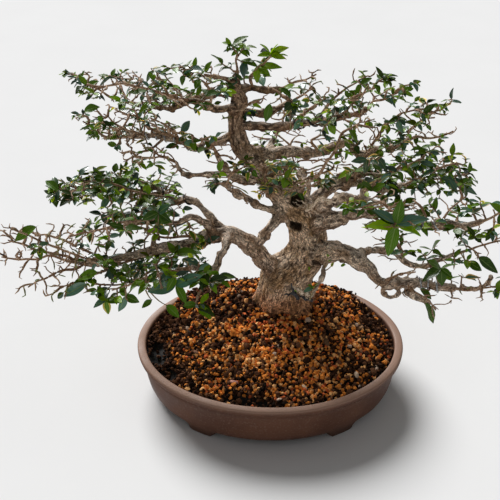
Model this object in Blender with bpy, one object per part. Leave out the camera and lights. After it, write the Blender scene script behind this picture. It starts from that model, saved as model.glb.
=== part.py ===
"""A broad bonsai tree in a shallow oval pot, in metres, with +Z up.

The front faces -Y and the width runs along X. Sizes and route points below are in millimetres,
measured from the middle of the pot's underside. A route point is (x, y, z, radius).
"""

import math
import random

import bmesh
import bpy
from mathutils import Matrix, Vector
from mathutils.bvhtree import BVHTree

MM = 0.001
GAP = 0.35

# Pot
POT_HALF_WIDTH = 190.0
POT_HALF_DEPTH = 155.0
RIM_HEIGHT = 80.0
FOOT_HEIGHT = 5.5
FLOOR_HEIGHT = 13.0
OVAL_STEPS = 32
DRAIN_RADIUS = 8.0
DRAIN_OFFSET = 70.0
FOOT_ANGLES = (47.0, 62.0)

# (inset from the rim's outline, height), up the outside and then down the inside
POT_OUTSIDE = (
    (31.0, FOOT_HEIGHT),
    (23.0, 9.0),
    (15.5, 17.0),
    (11.0, 33.0),
    (8.0, 52.0),
    (5.5, 70.5),
    (0.6, 71.8),
    (0.0, 78.8),
    (1.2, RIM_HEIGHT),
)
POT_INSIDE = ((10.8, RIM_HEIGHT), (12.0, 78.8), (14.5, 60.0), (19.0, 32.0), (28.0, 17.0), (38.0, FLOOR_HEIGHT))

# Soil
SOIL_BOTTOM = 14.6
SOIL_SIDE_GAP = 0.45
SOIL_EDGE_HEIGHT = 74.5
SOIL_TOP = 104.0
SOIL_BED = ((38.4, SOIL_BOTTOM), (28.0, 17.3), (19.0, 32.0), (14.5, 60.0), (12.6, SOIL_EDGE_HEIGHT))
PLATEAU_HALF_SIZES = (60.0, 51.0)
SLOPE_SHARES = (0.3, 0.65)

# Where the trunk enters the soil
TRUNK_CENTRE = (22.0, 64.0)
HOLE_HALF_SIZES = (50.0, 42.0)
HOLE_BOTTOM = 62.0
TRUNK_STEPS = 12

# Drainage mesh plates
MESH_SIDE = 26.0
MESH_THICKNESS = 0.8

# Trunk from just above the soil to the top
TRUNK_ROUTE = (
    (22, 62, 123, 41), (25, 60, 148, 38.5), (37, 57, 174, 37), (48, 55, 198, 31), (51, 53, 222, 28),
    (46, 50, 247, 26), (34, 50, 266, 24), (21, 49, 282, 19.5), (6, 48, 298, 15.5), (-8, 47, 317, 13),
    (-21, 46, 337, 12.5), (-36, 44, 357, 12.5), (-43, 42, 373, 12.5), (-47, 40, 395, 11), (-46, 38, 418, 10),
    (-42, 37, 436, 9), (-48, 36, 450, 8), (-46, 35, 464, 5),
)

# Limbs: number of sides of the tube, then its route
LIMBS = {
    "left_low": (8, (
        (22, 52, 180, 25), (-12, 40, 202, 19.5), (-32, 28, 229, 15.5), (-53, 18, 248, 13), (-87, 8, 247, 11.5),
        (-101, 0, 241, 9.5), (-142, -16, 244, 9), (-173, -24, 240, 8), (-226, -34, 234, 5.3),
        (-258, -38, 237, 3.8))),
    "left_back": (4, (
        (-67, 16, 251, 9), (-91, 34, 273, 6.8), (-107, 44, 282, 6), (-132, 56, 276, 5.5), (-152, 68, 284, 4.1),
        (-170, 76, 291, 3.4))),
    "left_front": (4, ((-77, 11, 251, 8), (-90, -10, 282, 6.5), (-108, -30, 300, 5.6), (-122, -46, 302, 4.4),
                       (-141, -56, 310, 3.2))),
    "left_hang": (4, ((-56, 16, 248, 8), (-60, -26, 255, 5.9), (-68, -48, 250, 5.2), (-78, -62, 239, 4.5),
                      (-103, -72, 249, 3.3))),
    "arch": (6, ((29, 44, 261, 12), (12, 30, 270, 10.5), (-3, 20, 265, 9.4), (-19, 20, 244, 9.3),
                 (-29, 26, 229, 8.2))),
    "stub_left": (4, ((23, 46, 274, 9.5), (-2, 34, 275, 8), (-22, 22, 291, 6.7), (-30, 14, 303, 6.4),
                      (-51, 0, 319, 5.2), (-58, -8, 332, 3.8))),
    "mid_left": (6, ((-5, 46, 313, 9), (-40, 42, 317, 8), (-58, 34, 331, 6.6), (-69, 22, 356, 5.2),
                     (-72, 12, 370, 3.8))),
    "mid_left_side": (4, ((-55, 36, 329, 5.9), (-87, 24, 333, 4.6), (-114, 14, 340, 3.9), (-123, 6, 358, 3.2))),
    "upper_left": (6, (
        (-45, 41, 380, 9), (-55, 44, 380, 7.8), (-76, 48, 368, 6.5), (-102, 54, 358, 6.5), (-128, 58, 368, 6.4),
        (-179, 54, 375, 5.2), (-209, 48, 375, 3.9))),
    "top_left_back": (6, (
        (-45, 37, 439, 7.5), (-57, 44, 439, 6.3), (-82, 62, 430, 6.2), (-106, 80, 415, 5.8), (-134, 98, 394, 5.2),
        (-174, 118, 388, 4.1), (-199, 126, 391, 3.4))),
    "top_left": (4, ((-45, 38, 421, 6.3), (-53, 26, 427, 5.6), (-72, 6, 435, 4.9), (-90, -12, 451, 4.2),
                     (-112, -26, 460, 3.2))),
    "top_twig": (4, ((-46, 35, 457, 4.6), (-54, 26, 463, 3.9), (-73, 8, 475, 3))),
    "right_mid": (6, ((45, 50, 258, 13), (77, 14, 293, 9.3), (95, 0, 310, 8.2), (115, -14, 313, 5.7),
                      (133, -28, 320, 4.4))),
    "right_back": (6, (
        (37, 52, 265, 12), (65, 66, 274, 9.6), (82, 80, 282, 8.2), (106, 94, 282, 7), (130, 106, 277, 6.4),
        (160, 114, 262, 5.6), (193, 122, 261, 4.3))),
    "right_back_side": (4, ((79, 78, 282, 6.9), (101, 98, 294, 4.9), (140, 126, 278, 4.3), (170, 142, 265, 3.7))),
    "right_front": (6, (
        (51, 46, 236, 12.5), (81, 10, 278, 9.3), (97, -2, 288, 8.5), (128, -28, 305, 6.4), (155, -44, 307, 5.7),
        (186, -56, 303, 5), (208, -62, 309, 5), (237, -68, 310, 4.3), (257, -72, 320, 3.6))),
    "right_low": (6, (
        (51, 54, 186, 17), (69, 32, 204, 12.5), (84, 16, 224, 10.9), (101, 4, 228, 10), (116, -8, 223, 9.4),
        (132, -18, 212, 8), (148, -26, 197, 6.7), (189, -36, 202, 6), (244, -44, 199, 4.8))),
    "right_low_side": (4, ((111, -3, 225, 6.7), (146, 16, 221, 5.5), (169, 24, 209, 5.5), (204, 30, 184, 4.8),
                           (224, 32, 189, 4.5), (260, 34, 204, 4))),
    "front_cut": (6, ((67, 40, 188, 9), (75, 8, 200, 7.6), (68, -16, 200, 6.8), (58, -34, 192, 6), (48, -44, 183, 5.3),
                      (37, -52, 189, 4))),
    "upper_right_back": (6, (
        (-39, 44, 362, 8.5), (-29, 52, 352, 7.9), (-8, 64, 344, 7.8), (25, 80, 339, 7.4), (60, 94, 328, 6.9),
        (101, 108, 338, 5.5), (127, 114, 318, 5.3), (156, 118, 322, 4.9), (198, 124, 337, 4.1))),
    "upper_right": (4, ((-46, 40, 395, 7.7), (-25, 30, 399, 6.4), (1, 18, 405, 5.7), (40, 0, 416, 4.9),
                        (77, -20, 433, 4.2), (107, -36, 451, 3.5))),
    "top_right": (4, ((-44, 36, 447, 6.3), (-29, 44, 445, 5), (-9, 56, 440, 4.5), (10, 66, 436, 3.6))),
    "top_right_back": (4, ((-44, 38, 415, 6.4), (-29, 48, 411, 5.2), (-12, 60, 401, 5.1), (5, 72, 403, 4.5),
                           (24, 84, 409, 3.6))),
    "front_thin": (4, ((-2, 47, 306, 8), (2, 20, 321, 5.2), (17, -6, 326, 4.5), (34, -26, 340, 3.8),
                       (53, -46, 368, 3.1))),
    "back_low": (6, ((40, 52, 261, 13), (46, 96, 260, 9.5), (52, 130, 261, 7.5), (42, 164, 263, 5))),
    "back_high": (4, ((-18, 46, 331, 8), (-4, 86, 338, 6.6), (7, 120, 343, 4.6))),
}

# Training wire: limb, then the shares of its length where the coil starts and ends, and its turns
WIRE_RADIUS = 1.25
WIRE_CLEARANCE = 0.45
WIRE_POINTS_A_TURN = 8
WIRES = {
    "wire_left_back": ("left_back", 0.42, 0.86, 4),
    "wire_upper_left": ("upper_left", 0.5, 0.78, 4),
    "wire_upper_right": ("upper_right", 0.42, 0.74, 5),
    "wire_right_front": ("right_front", 0.66, 0.86, 4),
    "wire_right_low": ("right_low", 0.78, 0.92, 3),
}

# Sprays of twigs and leaves: limb, share of its length where the spray starts (1 is its tip),
# route of the stem after the start, length of the side twigs, length of the leaves, twigs, seed
SPRAYS = {
    "spray_left_tip": ("left_low", 1.0, ((-293, -36, 244), (-328, -36, 238), (-352, -40, 246)), 38, 15, 3, 11),
    "spray_left_shoot": ("left_low", 0.86, ((-238, -62, 258), (-285, -66, 282), (-322, -70, 306)), 34, 15, 3, 12),
    "spray_left_under": ("left_low", 0.62, ((-160, -52, 232), (-190, -72, 226), (-226, -82, 232)), 50, 20, 4, 13),
    "spray_left_back": ("left_back", 1.0, ((-205, 84, 292), (-248, 90, 282), (-292, 92, 276)), 58, 17, 4, 14),
    "spray_left_front": ("left_front", 1.0, ((-172, -66, 316), (-210, -74, 316), (-252, -78, 310)), 54, 21, 4, 15),
    "spray_left_hang": ("left_hang", 1.0, ((-130, -80, 252), (-160, -90, 240)), 46, 22, 4, 16),
    "spray_stub_left": ("stub_left", 1.0, ((-56, -26, 352), (-48, -44, 372)), 36, 18, 3, 17),
    "spray_mid_left": ("mid_left", 1.0, ((-76, 2, 388), (-70, -14, 402)), 36, 15, 3, 18),
    "spray_mid_left_side": ("mid_left_side", 1.0, ((-140, -4, 372), (-172, -16, 380)), 36, 16, 3, 19),
    "spray_upper_left": ("upper_left", 1.0, ((-226, 40, 388), (-242, 34, 404)), 34, 16, 3, 20),
    "spray_top_left_back": ("top_left_back", 1.0, ((-226, 132, 400), (-252, 134, 414)), 50, 18, 4, 21),
    "spray_top_left": ("top_left", 1.0, ((-144, -38, 472), (-176, -48, 480), (-204, -54, 484)), 46, 17, 4, 22),
    "spray_top_twig": ("top_twig", 1.0, ((-92, -4, 486), (-110, -18, 494)), 28, 14, 3, 23),
    "spray_apex": (None, 1.0, ((-46, 32, 482), (-44, 28, 500)), 34, 16, 4, 24),
    "spray_top_right": ("top_right", 1.0, ((30, 78, 446), (46, 88, 458)), 40, 20, 4, 25),
    "spray_top_right_back": ("top_right_back", 1.0, ((46, 104, 418), (66, 122, 424)), 46, 20, 4, 26),
    "spray_upper_right": ("upper_right", 1.0, ((128, -46, 466), (150, -56, 480), (172, -62, 488)), 48, 16, 4, 27),
    "spray_upper_right_back": ("upper_right_back", 1.0, ((224, 128, 352), (256, 128, 364)), 48, 15, 4, 28),
    "spray_right_back": ("right_back", 1.0, ((228, 128, 268), (262, 132, 276), (292, 134, 284)), 54, 17, 4, 29),
    "spray_right_back_side": ("right_back_side", 1.0, ((190, 158, 282), (216, 176, 296)), 46, 17, 4, 30),
    "spray_right_mid": ("right_mid", 1.0, ((142, -62, 332), (152, -98, 336), (162, -128, 332)), 46, 30, 4, 31),
    "spray_right_front": ("right_front", 1.0, ((276, -78, 336), (296, -84, 348)), 52, 20, 4, 32),
    "spray_right_low_side": ("right_low_side", 1.0, ((290, 36, 214), (318, 38, 222)), 48, 18, 4, 33),
    "spray_right_low": ("right_low", 1.0, ((270, -52, 204), (294, -58, 212)), 52, 24, 4, 34),
    "spray_front_cut": ("front_cut", 1.0, ((30, -58, 204), (28, -66, 218)), 20, 18, 2, 35),
    "spray_front_thin": ("front_thin", 1.0, ((62, -58, 392), (70, -66, 408)), 40, 17, 4, 36),
    "spray_back_low": ("back_low", 1.0, ((34, 192, 272), (28, 214, 282)), 56, 18, 4, 37),
    "spray_back_high": ("back_high", 1.0, ((18, 150, 354), (24, 172, 362)), 46, 18, 4, 38),
    "spray_right_low_side_2": ("right_low_side", 0.5, ((172, 62, 226), (190, 92, 236)), 40, 18, 3, 39),
    "spray_upper_back_2": ("upper_right_back", 0.62, ((112, 136, 356), (122, 164, 366)), 40, 17, 3, 40),
}
STEM_START_RADIUS = 2.6
STEM_END_RADIUS = 1.3
TWIG_RADII = (1.5, 1.0)
LEAF_CLEARANCE = 0.5
LEAF_SINK = 1.0
LEAF_THICKNESS = 1.7
LEAF_DROOP = 0.1
LEAF_WIDTH_SHARE = 0.6
LARGE_LEAF = 24.0


def clear_scene():
    for obj in list(bpy.data.objects):
        bpy.data.objects.remove(obj)


def new_collection(name):
    collection = bpy.data.collections.new(name)
    bpy.context.scene.collection.children.link(collection)
    return collection


def principled(name, colour, roughness, metallic):
    material = bpy.data.materials.new(name)
    material.use_nodes = True
    shader = material.node_tree.nodes["Principled BSDF"]
    shader.inputs["Base Color"].default_value = (*colour, 1.0)
    shader.inputs["Roughness"].default_value = roughness
    shader.inputs["Metallic"].default_value = metallic
    return material


def paint(obj, material):
    """Gives an object one material, in place of any slots that a join left behind."""
    obj.data.materials.clear()
    obj.data.materials.append(material)
    obj.data.polygons.foreach_set("material_index", [0] * len(obj.data.polygons))


def mesh_object(name, bm, collection):
    """An object from a bmesh given in millimetres, with its faces turned outwards."""
    bmesh.ops.recalc_face_normals(bm, faces=bm.faces)
    bmesh.ops.scale(bm, vec=(MM, MM, MM), verts=bm.verts)
    mesh = bpy.data.meshes.new(name)
    bm.to_mesh(mesh)
    bm.free()
    obj = bpy.data.objects.new(name, mesh)
    collection.objects.link(obj)
    return obj


def loft(rings):
    """A closed surface through rings of equal count, with a flat cap at each end."""
    bm = bmesh.new()
    made = [[bm.verts.new(point) for point in ring] for ring in rings]
    steps = len(rings[0])
    for low, high in zip(made, made[1:]):
        for i in range(steps):
            j = (i + 1) % steps
            bm.faces.new((low[i], low[j], high[j], high[i]))
    bm.faces.new(reversed(made[0]))
    bm.faces.new(made[-1])
    return bm


def oval(half_width, half_depth, height, steps, centre=(0.0, 0.0)):
    turns = [math.tau * i / steps for i in range(steps)]
    return [
        Vector((centre[0] + half_width * math.cos(turn), centre[1] + half_depth * math.sin(turn), height))
        for turn in turns
    ]


def pot_oval(inset, height):
    return oval(POT_HALF_WIDTH - inset, POT_HALF_DEPTH - inset, height, OVAL_STEPS)


def pot_foot(start, end):
    """One foot: an arc of the pot's oval, standing a little proud of the body above it."""
    outer, inner, steps = 20.0, 40.0, 4
    rings = []
    for i in range(steps + 1):
        turn = math.radians(start + (end - start) * i / steps)
        rings.append([
            Vector(((POT_HALF_WIDTH - inset) * math.cos(turn), (POT_HALF_DEPTH - inset) * math.sin(turn), height))
            for inset, height in ((outer, 0.0), (outer + 1.5, 11.5), (inner, 11.5), (inner + 2.0, 0.0))
        ])
    return loft(rings)


def drain_cutter(name, offset, cutters):
    bm = bmesh.new()
    bmesh.ops.create_cone(
        bm, cap_ends=True, segments=16, radius1=DRAIN_RADIUS, radius2=DRAIN_RADIUS, depth=30.0,
        matrix=Matrix.Translation((offset, 0.0, 8.0)),
    )
    return mesh_object(name, bm, cutters)


def boolean(obj, operation, other, solver="MANIFOLD"):
    modifier = obj.modifiers.new(operation.title(), "BOOLEAN")
    modifier.operation = operation
    modifier.solver = solver
    if isinstance(other, bpy.types.Collection):
        modifier.operand_type = "COLLECTION"
        modifier.collection = other
    else:
        modifier.object = other


def apply_modifiers(obj):
    graph = bpy.context.evaluated_depsgraph_get()
    graph.update()
    mesh = bpy.data.meshes.new_from_object(obj.evaluated_get(graph))
    obj.modifiers.clear()
    obj.data = mesh
    mesh.name = obj.name


def islands(bm):
    """The separate bodies of a bmesh, as lists of faces."""
    left = set(bm.faces)
    found = []
    while left:
        todo = [left.pop()]
        body = []
        while todo:
            face = todo.pop()
            body.append(face)
            for edge in face.edges:
                for other in edge.link_faces:
                    if other in left:
                        left.remove(other)
                        todo.append(other)
        found.append(body)
    return found


def keep_largest_body(obj):
    """Drops loose scraps, and fills any sealed hollow by dropping its walls."""
    bm = bmesh.new()
    bm.from_mesh(obj.data)
    bodies = sorted(islands(bm), key=len)
    for body in bodies[:-1]:
        bmesh.ops.delete(bm, geom=body, context="FACES")
    bm.to_mesh(obj.data)
    bm.free()


def fuse(obj, bits):
    """Joins a collection of bits to an object by a Boolean union, then removes the bits."""
    boolean(obj, "UNION", bits)
    apply_modifiers(obj)
    for bit in list(bits.objects):
        bpy.data.objects.remove(bit)
    bpy.data.collections.remove(bits)
    keep_largest_body(obj)


def make_pot(parts, cutters):
    pot = mesh_object("pot", loft([pot_oval(*step) for step in POT_OUTSIDE + POT_INSIDE]), parts)
    feet = new_collection("feet")
    low, high = FOOT_ANGLES
    for i, (start, end) in enumerate(((low, high), (180 - high, 180 - low), (180 + low, 180 + high), (360 - high, 360 - low))):
        mesh_object(f"foot_{i}", pot_foot(start, end), feet)
    fuse(pot, feet)
    for i, side in enumerate((-1, 1)):
        boolean(pot, "DIFFERENCE", drain_cutter(f"drain_cut_{i}", side * DRAIN_OFFSET, cutters))
    paint(pot, principled("unglazed clay", (0.16, 0.085, 0.06), 0.75, 0.0))
    return pot


def smoothstep(share):
    return share * share * (3.0 - 2.0 * share)


def make_soil(parts):
    """The packed soil: a bed that follows the pot, mounded around a plain hole for the trunk."""
    rings = [pot_oval(inset + SOIL_SIDE_GAP, height) for inset, height in SOIL_BED]
    plateau = oval(*PLATEAU_HALF_SIZES, SOIL_TOP, OVAL_STEPS, TRUNK_CENTRE)
    edge = rings[-1]
    for share in SLOPE_SHARES:
        ring = []
        for outer, inner in zip(edge, plateau):
            point = outer.lerp(inner, share)
            point.z = SOIL_EDGE_HEIGHT + (SOIL_TOP - SOIL_EDGE_HEIGHT) * smoothstep(share)
            ring.append(point)
        rings.append(ring)
    rings.append(plateau)
    rings.append(oval(*HOLE_HALF_SIZES, SOIL_TOP, OVAL_STEPS, TRUNK_CENTRE))
    rings.append(oval(*HOLE_HALF_SIZES, HOLE_BOTTOM, OVAL_STEPS, TRUNK_CENTRE))
    soil = mesh_object("soil", loft(rings), parts)
    paint(soil, principled("granular soil", (0.24, 0.11, 0.045), 0.95, 0.0))
    return soil


def make_drain_mesh(name, offset, parts):
    """A thin square plate that covers a drain hole from inside."""
    bm = bmesh.new()
    centre = FLOOR_HEIGHT + GAP + MESH_THICKNESS / 2
    bmesh.ops.create_cube(
        bm, size=1.0,
        matrix=Matrix.Translation((offset, 0.0, centre)) @ Matrix.Diagonal((MESH_SIDE, MESH_SIDE, MESH_THICKNESS, 1.0)),
    )
    plate = mesh_object(name, bm, parts)
    paint(plate, principled("black plastic mesh", (0.02, 0.02, 0.02), 0.6, 0.0))
    return plate


def frames_along(points):
    """(point, side, up) at each point, turning as little as possible from one to the next."""
    frames = []
    side = None
    for i, point in enumerate(points):
        before = points[max(i - 1, 0)]
        after = points[min(i + 1, len(points) - 1)]
        tangent = (after - before).normalized()
        if side is None:
            side = tangent.orthogonal() if abs(tangent.x) > 0.9 else Vector((1.0, 0.0, 0.0))
        side = (side - tangent * side.dot(tangent)).normalized()
        frames.append((point, side, tangent.cross(side)))
    return frames


def lobed(turn, height):
    """Radius factor for the ridges that run up from the roots and twist with height."""
    return 1.0 - 0.05 * (1.0 + math.cos(5.0 * turn + 0.012 * height)) - 0.03 * math.cos(3.0 * turn - 0.02 * height)


def trunk_core():
    """The trunk as one loft: a plain oval plug in the soil, then lobed rings along the route."""
    width, depth = (half - 0.5 for half in HOLE_HALF_SIZES)
    rings = [
        oval(width, depth, HOLE_BOTTOM + GAP, TRUNK_STEPS, TRUNK_CENTRE),
        oval(width, depth, SOIL_TOP + 1.0, TRUNK_STEPS, TRUNK_CENTRE),
    ]
    centres = [Vector(step[:3]) for step in TRUNK_ROUTE]
    for (centre, side, up), step in zip(frames_along(centres), TRUNK_ROUTE):
        ring = []
        for i in range(TRUNK_STEPS):
            turn = math.tau * i / TRUNK_STEPS
            radius = step[3] * lobed(turn, centre.z)
            ring.append(centre + side * radius * math.cos(turn) + up * radius * math.sin(turn))
        rings.append(ring)
    return loft(rings)


def tube(name, route, sides, collection):
    """A tapered tube through (x, y, z, radius) points in millimetres, with filled ends."""
    curve = bpy.data.curves.new(name, "CURVE")
    curve.dimensions = "3D"
    curve.bevel_depth = MM
    curve.bevel_resolution = (sides - 4) // 2
    curve.use_fill_caps = True
    spline = curve.splines.new("POLY")
    spline.points.add(len(route) - 1)
    for point, (x, y, z, radius) in zip(spline.points, route):
        point.co = (x * MM, y * MM, z * MM, 1.0)
        point.radius = radius
    guide = bpy.data.objects.new(name + "_curve", curve)
    bpy.context.scene.collection.objects.link(guide)
    graph = bpy.context.evaluated_depsgraph_get()
    mesh = bpy.data.meshes.new_from_object(guide.evaluated_get(graph))
    bpy.data.objects.remove(guide)
    bpy.data.curves.remove(curve)
    bm = bmesh.new()
    bm.from_mesh(mesh)
    bpy.data.meshes.remove(mesh)
    bmesh.ops.remove_doubles(bm, verts=bm.verts, dist=0.01 * MM)
    bmesh.ops.scale(bm, vec=(1 / MM, 1 / MM, 1 / MM), verts=bm.verts)
    return mesh_object(name, bm, collection)


def make_trunk(parts):
    """Trunk, roots and woody limbs, grown as one body."""
    trunk = mesh_object("trunk", trunk_core(), parts)
    limbs = new_collection("limbs")
    for name, (sides, route) in LIMBS.items():
        tube(name, route, sides, limbs)
    fuse(trunk, limbs)
    paint(trunk, principled("grey bark", (0.30, 0.23, 0.17), 0.85, 0.0))
    return trunk


def place_along(route, share):
    """(point, radius, direction) at a share of the length of a route."""
    points = [Vector(step[:3]) for step in route]
    lengths = [(b - a).length for a, b in zip(points, points[1:])]
    left = share * sum(lengths)
    for i, length in enumerate(lengths):
        if left <= length or i == len(lengths) - 1:
            part = min(left / length, 1.0)
            point = points[i].lerp(points[i + 1], part)
            radius = route[i][3] * (1 - part) + route[i + 1][3] * part
            return point, radius, (points[i + 1] - points[i]).normalized()
        left -= length


def make_wire(name, limb, start, end, turns, parts):
    """A coil of training wire around one limb, just clear of its bark."""
    route = LIMBS[limb][1]
    count = turns * WIRE_POINTS_A_TURN + 1
    coil = []
    side = Vector((0.0, 0.0, 1.0))
    for i in range(count):
        point, radius, direction = place_along(route, start + (end - start) * i / (count - 1))
        side = (side - direction * side.dot(direction)).normalized()
        turn = math.tau * i / WIRE_POINTS_A_TURN
        reach = radius + WIRE_RADIUS + WIRE_CLEARANCE
        place = point + (side * math.cos(turn) + direction.cross(side) * math.sin(turn)) * reach
        coil.append((*place, WIRE_RADIUS))
    wire = tube(name, coil, 4, parts)
    paint(wire, principled(f"{name} metal", (0.10, 0.09, 0.085), 0.45, 1.0))
    return wire


def leaf(length, width, large):
    """A closed leaf along +Y with its upper side to +Z: pointed, ridged along the midrib, its tip drooping."""
    bm = bmesh.new()
    bmesh.ops.create_uvsphere(bm, u_segments=4 if large else 3, v_segments=4 if large else 3, radius=1.0)
    for vert in bm.verts:
        share = (vert.co.z + 1.0) / 2.0
        reach = math.hypot(vert.co.x, vert.co.y)
        fold = 0.25 * abs(vert.co.x) * width / 2 if large else 0.0
        droop = LEAF_DROOP * length * share * share
        vert.co = Vector((
            vert.co.x * width / 2 * (1.15 - 0.35 * share),
            length * share,
            vert.co.y / max(reach, 0.1) * min(1.0, reach * 1.2) * LEAF_THICKNESS / 2 + fold - droop,
        ))
    return bm


def leaf_object(name, base, direction, upward, length, collection):
    """A leaf placed with its root sunk into the twig at base."""
    bm = leaf(length, length * LEAF_WIDTH_SHARE, length > LARGE_LEAF)
    along = direction.normalized()
    across = along.cross(upward).normalized()
    turned = Matrix((across, along, across.cross(along))).transposed().to_4x4()
    bmesh.ops.transform(bm, matrix=Matrix.Translation(base - along * LEAF_SINK) @ turned, verts=bm.verts)
    return mesh_object(name, bm, collection)


def tree_of(obj):
    """A search tree of an object's faces as it is evaluated now, in metres."""
    graph = bpy.context.evaluated_depsgraph_get()
    graph.update()
    return BVHTree.FromObject(obj, graph)


def is_clear(obj, others):
    """True where the object, swollen by the clearance, crosses none of the others."""
    bm = bmesh.new()
    bm.from_mesh(obj.data)
    bm.normal_update()
    for vert in bm.verts:
        vert.co += vert.normal * LEAF_CLEARANCE * MM
    swollen = BVHTree.FromBMesh(bm)
    bm.free()
    return not any(swollen.overlap(other) for other in others)


def spray_start(limb, share, towards, wood):
    """Where a spray meets its limb: just clear of the bark, with the direction away from it."""
    route = TRUNK_ROUTE if limb is None else LIMBS[limb][1]
    point, radius, along = place_along(route, share)
    if share >= 1.0:
        away = along
        point = point - along * 4.0
    else:
        away = Vector(towards) - point
        away = (away - along * away.dot(along)).normalized()
    hit = wood.ray_cast(point * MM, away)[0]
    return hit / MM + away * GAP, away


def grow_spray(name, plan, wood, others, parts):
    """A stem with alternate side twigs, opposite pairs of leaves and a leaf at every tip."""
    limb, share, route, reach, leaf_length, twigs, seed = plan
    rule = random.Random(seed)
    start, away = spray_start(limb, share, route[0], wood)
    places = [start, start + away * 5.0] + [Vector(point) for point in route]
    stem_route = []
    for i, place in enumerate(places):
        part = i / (len(places) - 1)
        stem_route.append((*place, STEM_START_RADIUS * (1 - part) + STEM_END_RADIUS * part))
    stem = tube(name, stem_route, 4, parts)
    bits = new_collection(name + "_bits")
    sprigs = [(stem_route, 1.0)]
    for i in range(twigs):
        part = 0.22 + 0.7 * (i + rule.uniform(0.0, 0.5)) / twigs
        base, radius, along = place_along(stem_route, part)
        across = along.cross(Vector((0.0, 0.0, 1.0))).normalized() * (1 if i % 2 else -1)
        heading = (along * 0.6 + across + Vector((0.0, 0.0, rule.uniform(0.05, 0.45)))).normalized()
        length = reach * (1.1 - 0.55 * part) * rule.uniform(0.75, 1.1)
        tip = base + heading * length
        twig_route = [(*base, TWIG_RADII[0]), (*tip, TWIG_RADII[1])]
        twig = tube(f"{name}_twig_{i}", twig_route, 4, bits)
        if is_clear(twig, others):
            sprigs.append((twig_route, 0.45))
        else:
            bpy.data.objects.remove(twig)
    for i, (sprig, first) in enumerate(sprigs):
        place_leaves(f"{name}_leaf_{i}", sprig, first, leaf_length, rule, others, bits)
    fuse(stem, bits)
    paint(stem, principled(f"{name} foliage", (0.05, 0.13, 0.035), 0.4, 0.0))
    return stem


def place_leaves(name, sprig, first, leaf_length, rule, others, bits):
    """A leaf at the tip of a sprig, then opposite pairs back to the share where leaves begin."""
    turned = rule.choice((-1.0, 1.0))
    shares = (1.0, 0.93, 0.93) if first == 1.0 else (1.0, rule.uniform(0.5, 0.75))
    for i, share in enumerate(shares):
        base, radius, along = place_along(sprig, min(share, 0.985))
        across = along.cross(Vector((0.0, 0.0, 1.0)))
        if across.length < 0.2:
            across = Vector((1.0, 0.0, 0.0))
        across.normalize()
        side = (0.0, turned, -turned)[i]
        heading = along * (1.0 if i == 0 else 0.55) + across * side + Vector((0.0, 0.0, rule.uniform(0.0, 0.5)))
        upward = Vector((rule.uniform(-0.35, 0.35), rule.uniform(-0.5, 0.15), 1.0))
        length = leaf_length * rule.uniform(0.75, 1.2)
        blade = leaf_object(f"{name}_{i}", base, heading, upward, length, bits)
        if not is_clear(blade, others):
            bpy.data.objects.remove(blade)


def rest_on_origin(nodes):
    """Parents every node to one empty that brings the middle of the box's base to the origin."""
    bpy.context.view_layer.update()
    graph = bpy.context.evaluated_depsgraph_get()
    low = Vector((math.inf,) * 3)
    high = Vector((-math.inf,) * 3)
    for node in nodes:
        for vert in node.evaluated_get(graph).data.vertices:
            place = node.matrix_world @ vert.co
            low = Vector(map(min, low, place))
            high = Vector(map(max, high, place))
    middle = (low + high) / 2
    empty = bpy.data.objects.new("bonsai tree", None)
    bpy.context.scene.collection.objects.link(empty)
    empty.location = (-middle.x, -middle.y, -low.z)
    for node in nodes:
        node.parent = empty


def main():
    clear_scene()
    parts = new_collection("Bonsai tree")
    cutters = new_collection("Cutters")
    pot = make_pot(parts, cutters)
    soil = make_soil(parts)
    plates = [make_drain_mesh(f"drain_mesh_{i + 1}", side * DRAIN_OFFSET, parts) for i, side in enumerate((-1, 1))]
    trunk = make_trunk(parts)
    wires = [make_wire(name, *plan, parts) for name, plan in WIRES.items()]
    wood = tree_of(trunk)
    others = [tree_of(node) for node in (pot, soil, trunk, *wires)]
    sprays = []
    for name, plan in SPRAYS.items():
        spray = grow_spray(name, plan, wood, others, parts)
        others.append(tree_of(spray))
        sprays.append(spray)
    for node in (pot, soil, trunk, *wires, *sprays):
        node.data.shade_smooth()
    for cutter in cutters.objects:
        cutter.hide_render = True
        cutter.display_type = "WIRE"
    rest_on_origin([pot, soil, *plates, trunk, *wires, *sprays])


main()
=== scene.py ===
"""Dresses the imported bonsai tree: bark, twigs, leaves, granular soil, clay, wire and a pale studio.

Route points are (x, y, z, radius) in millimetres from the middle of the pot's underside, as in the
solids. Every surface is computed there, and is moved to the row's frame when its object is made.
"""

import itertools
import math

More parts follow.
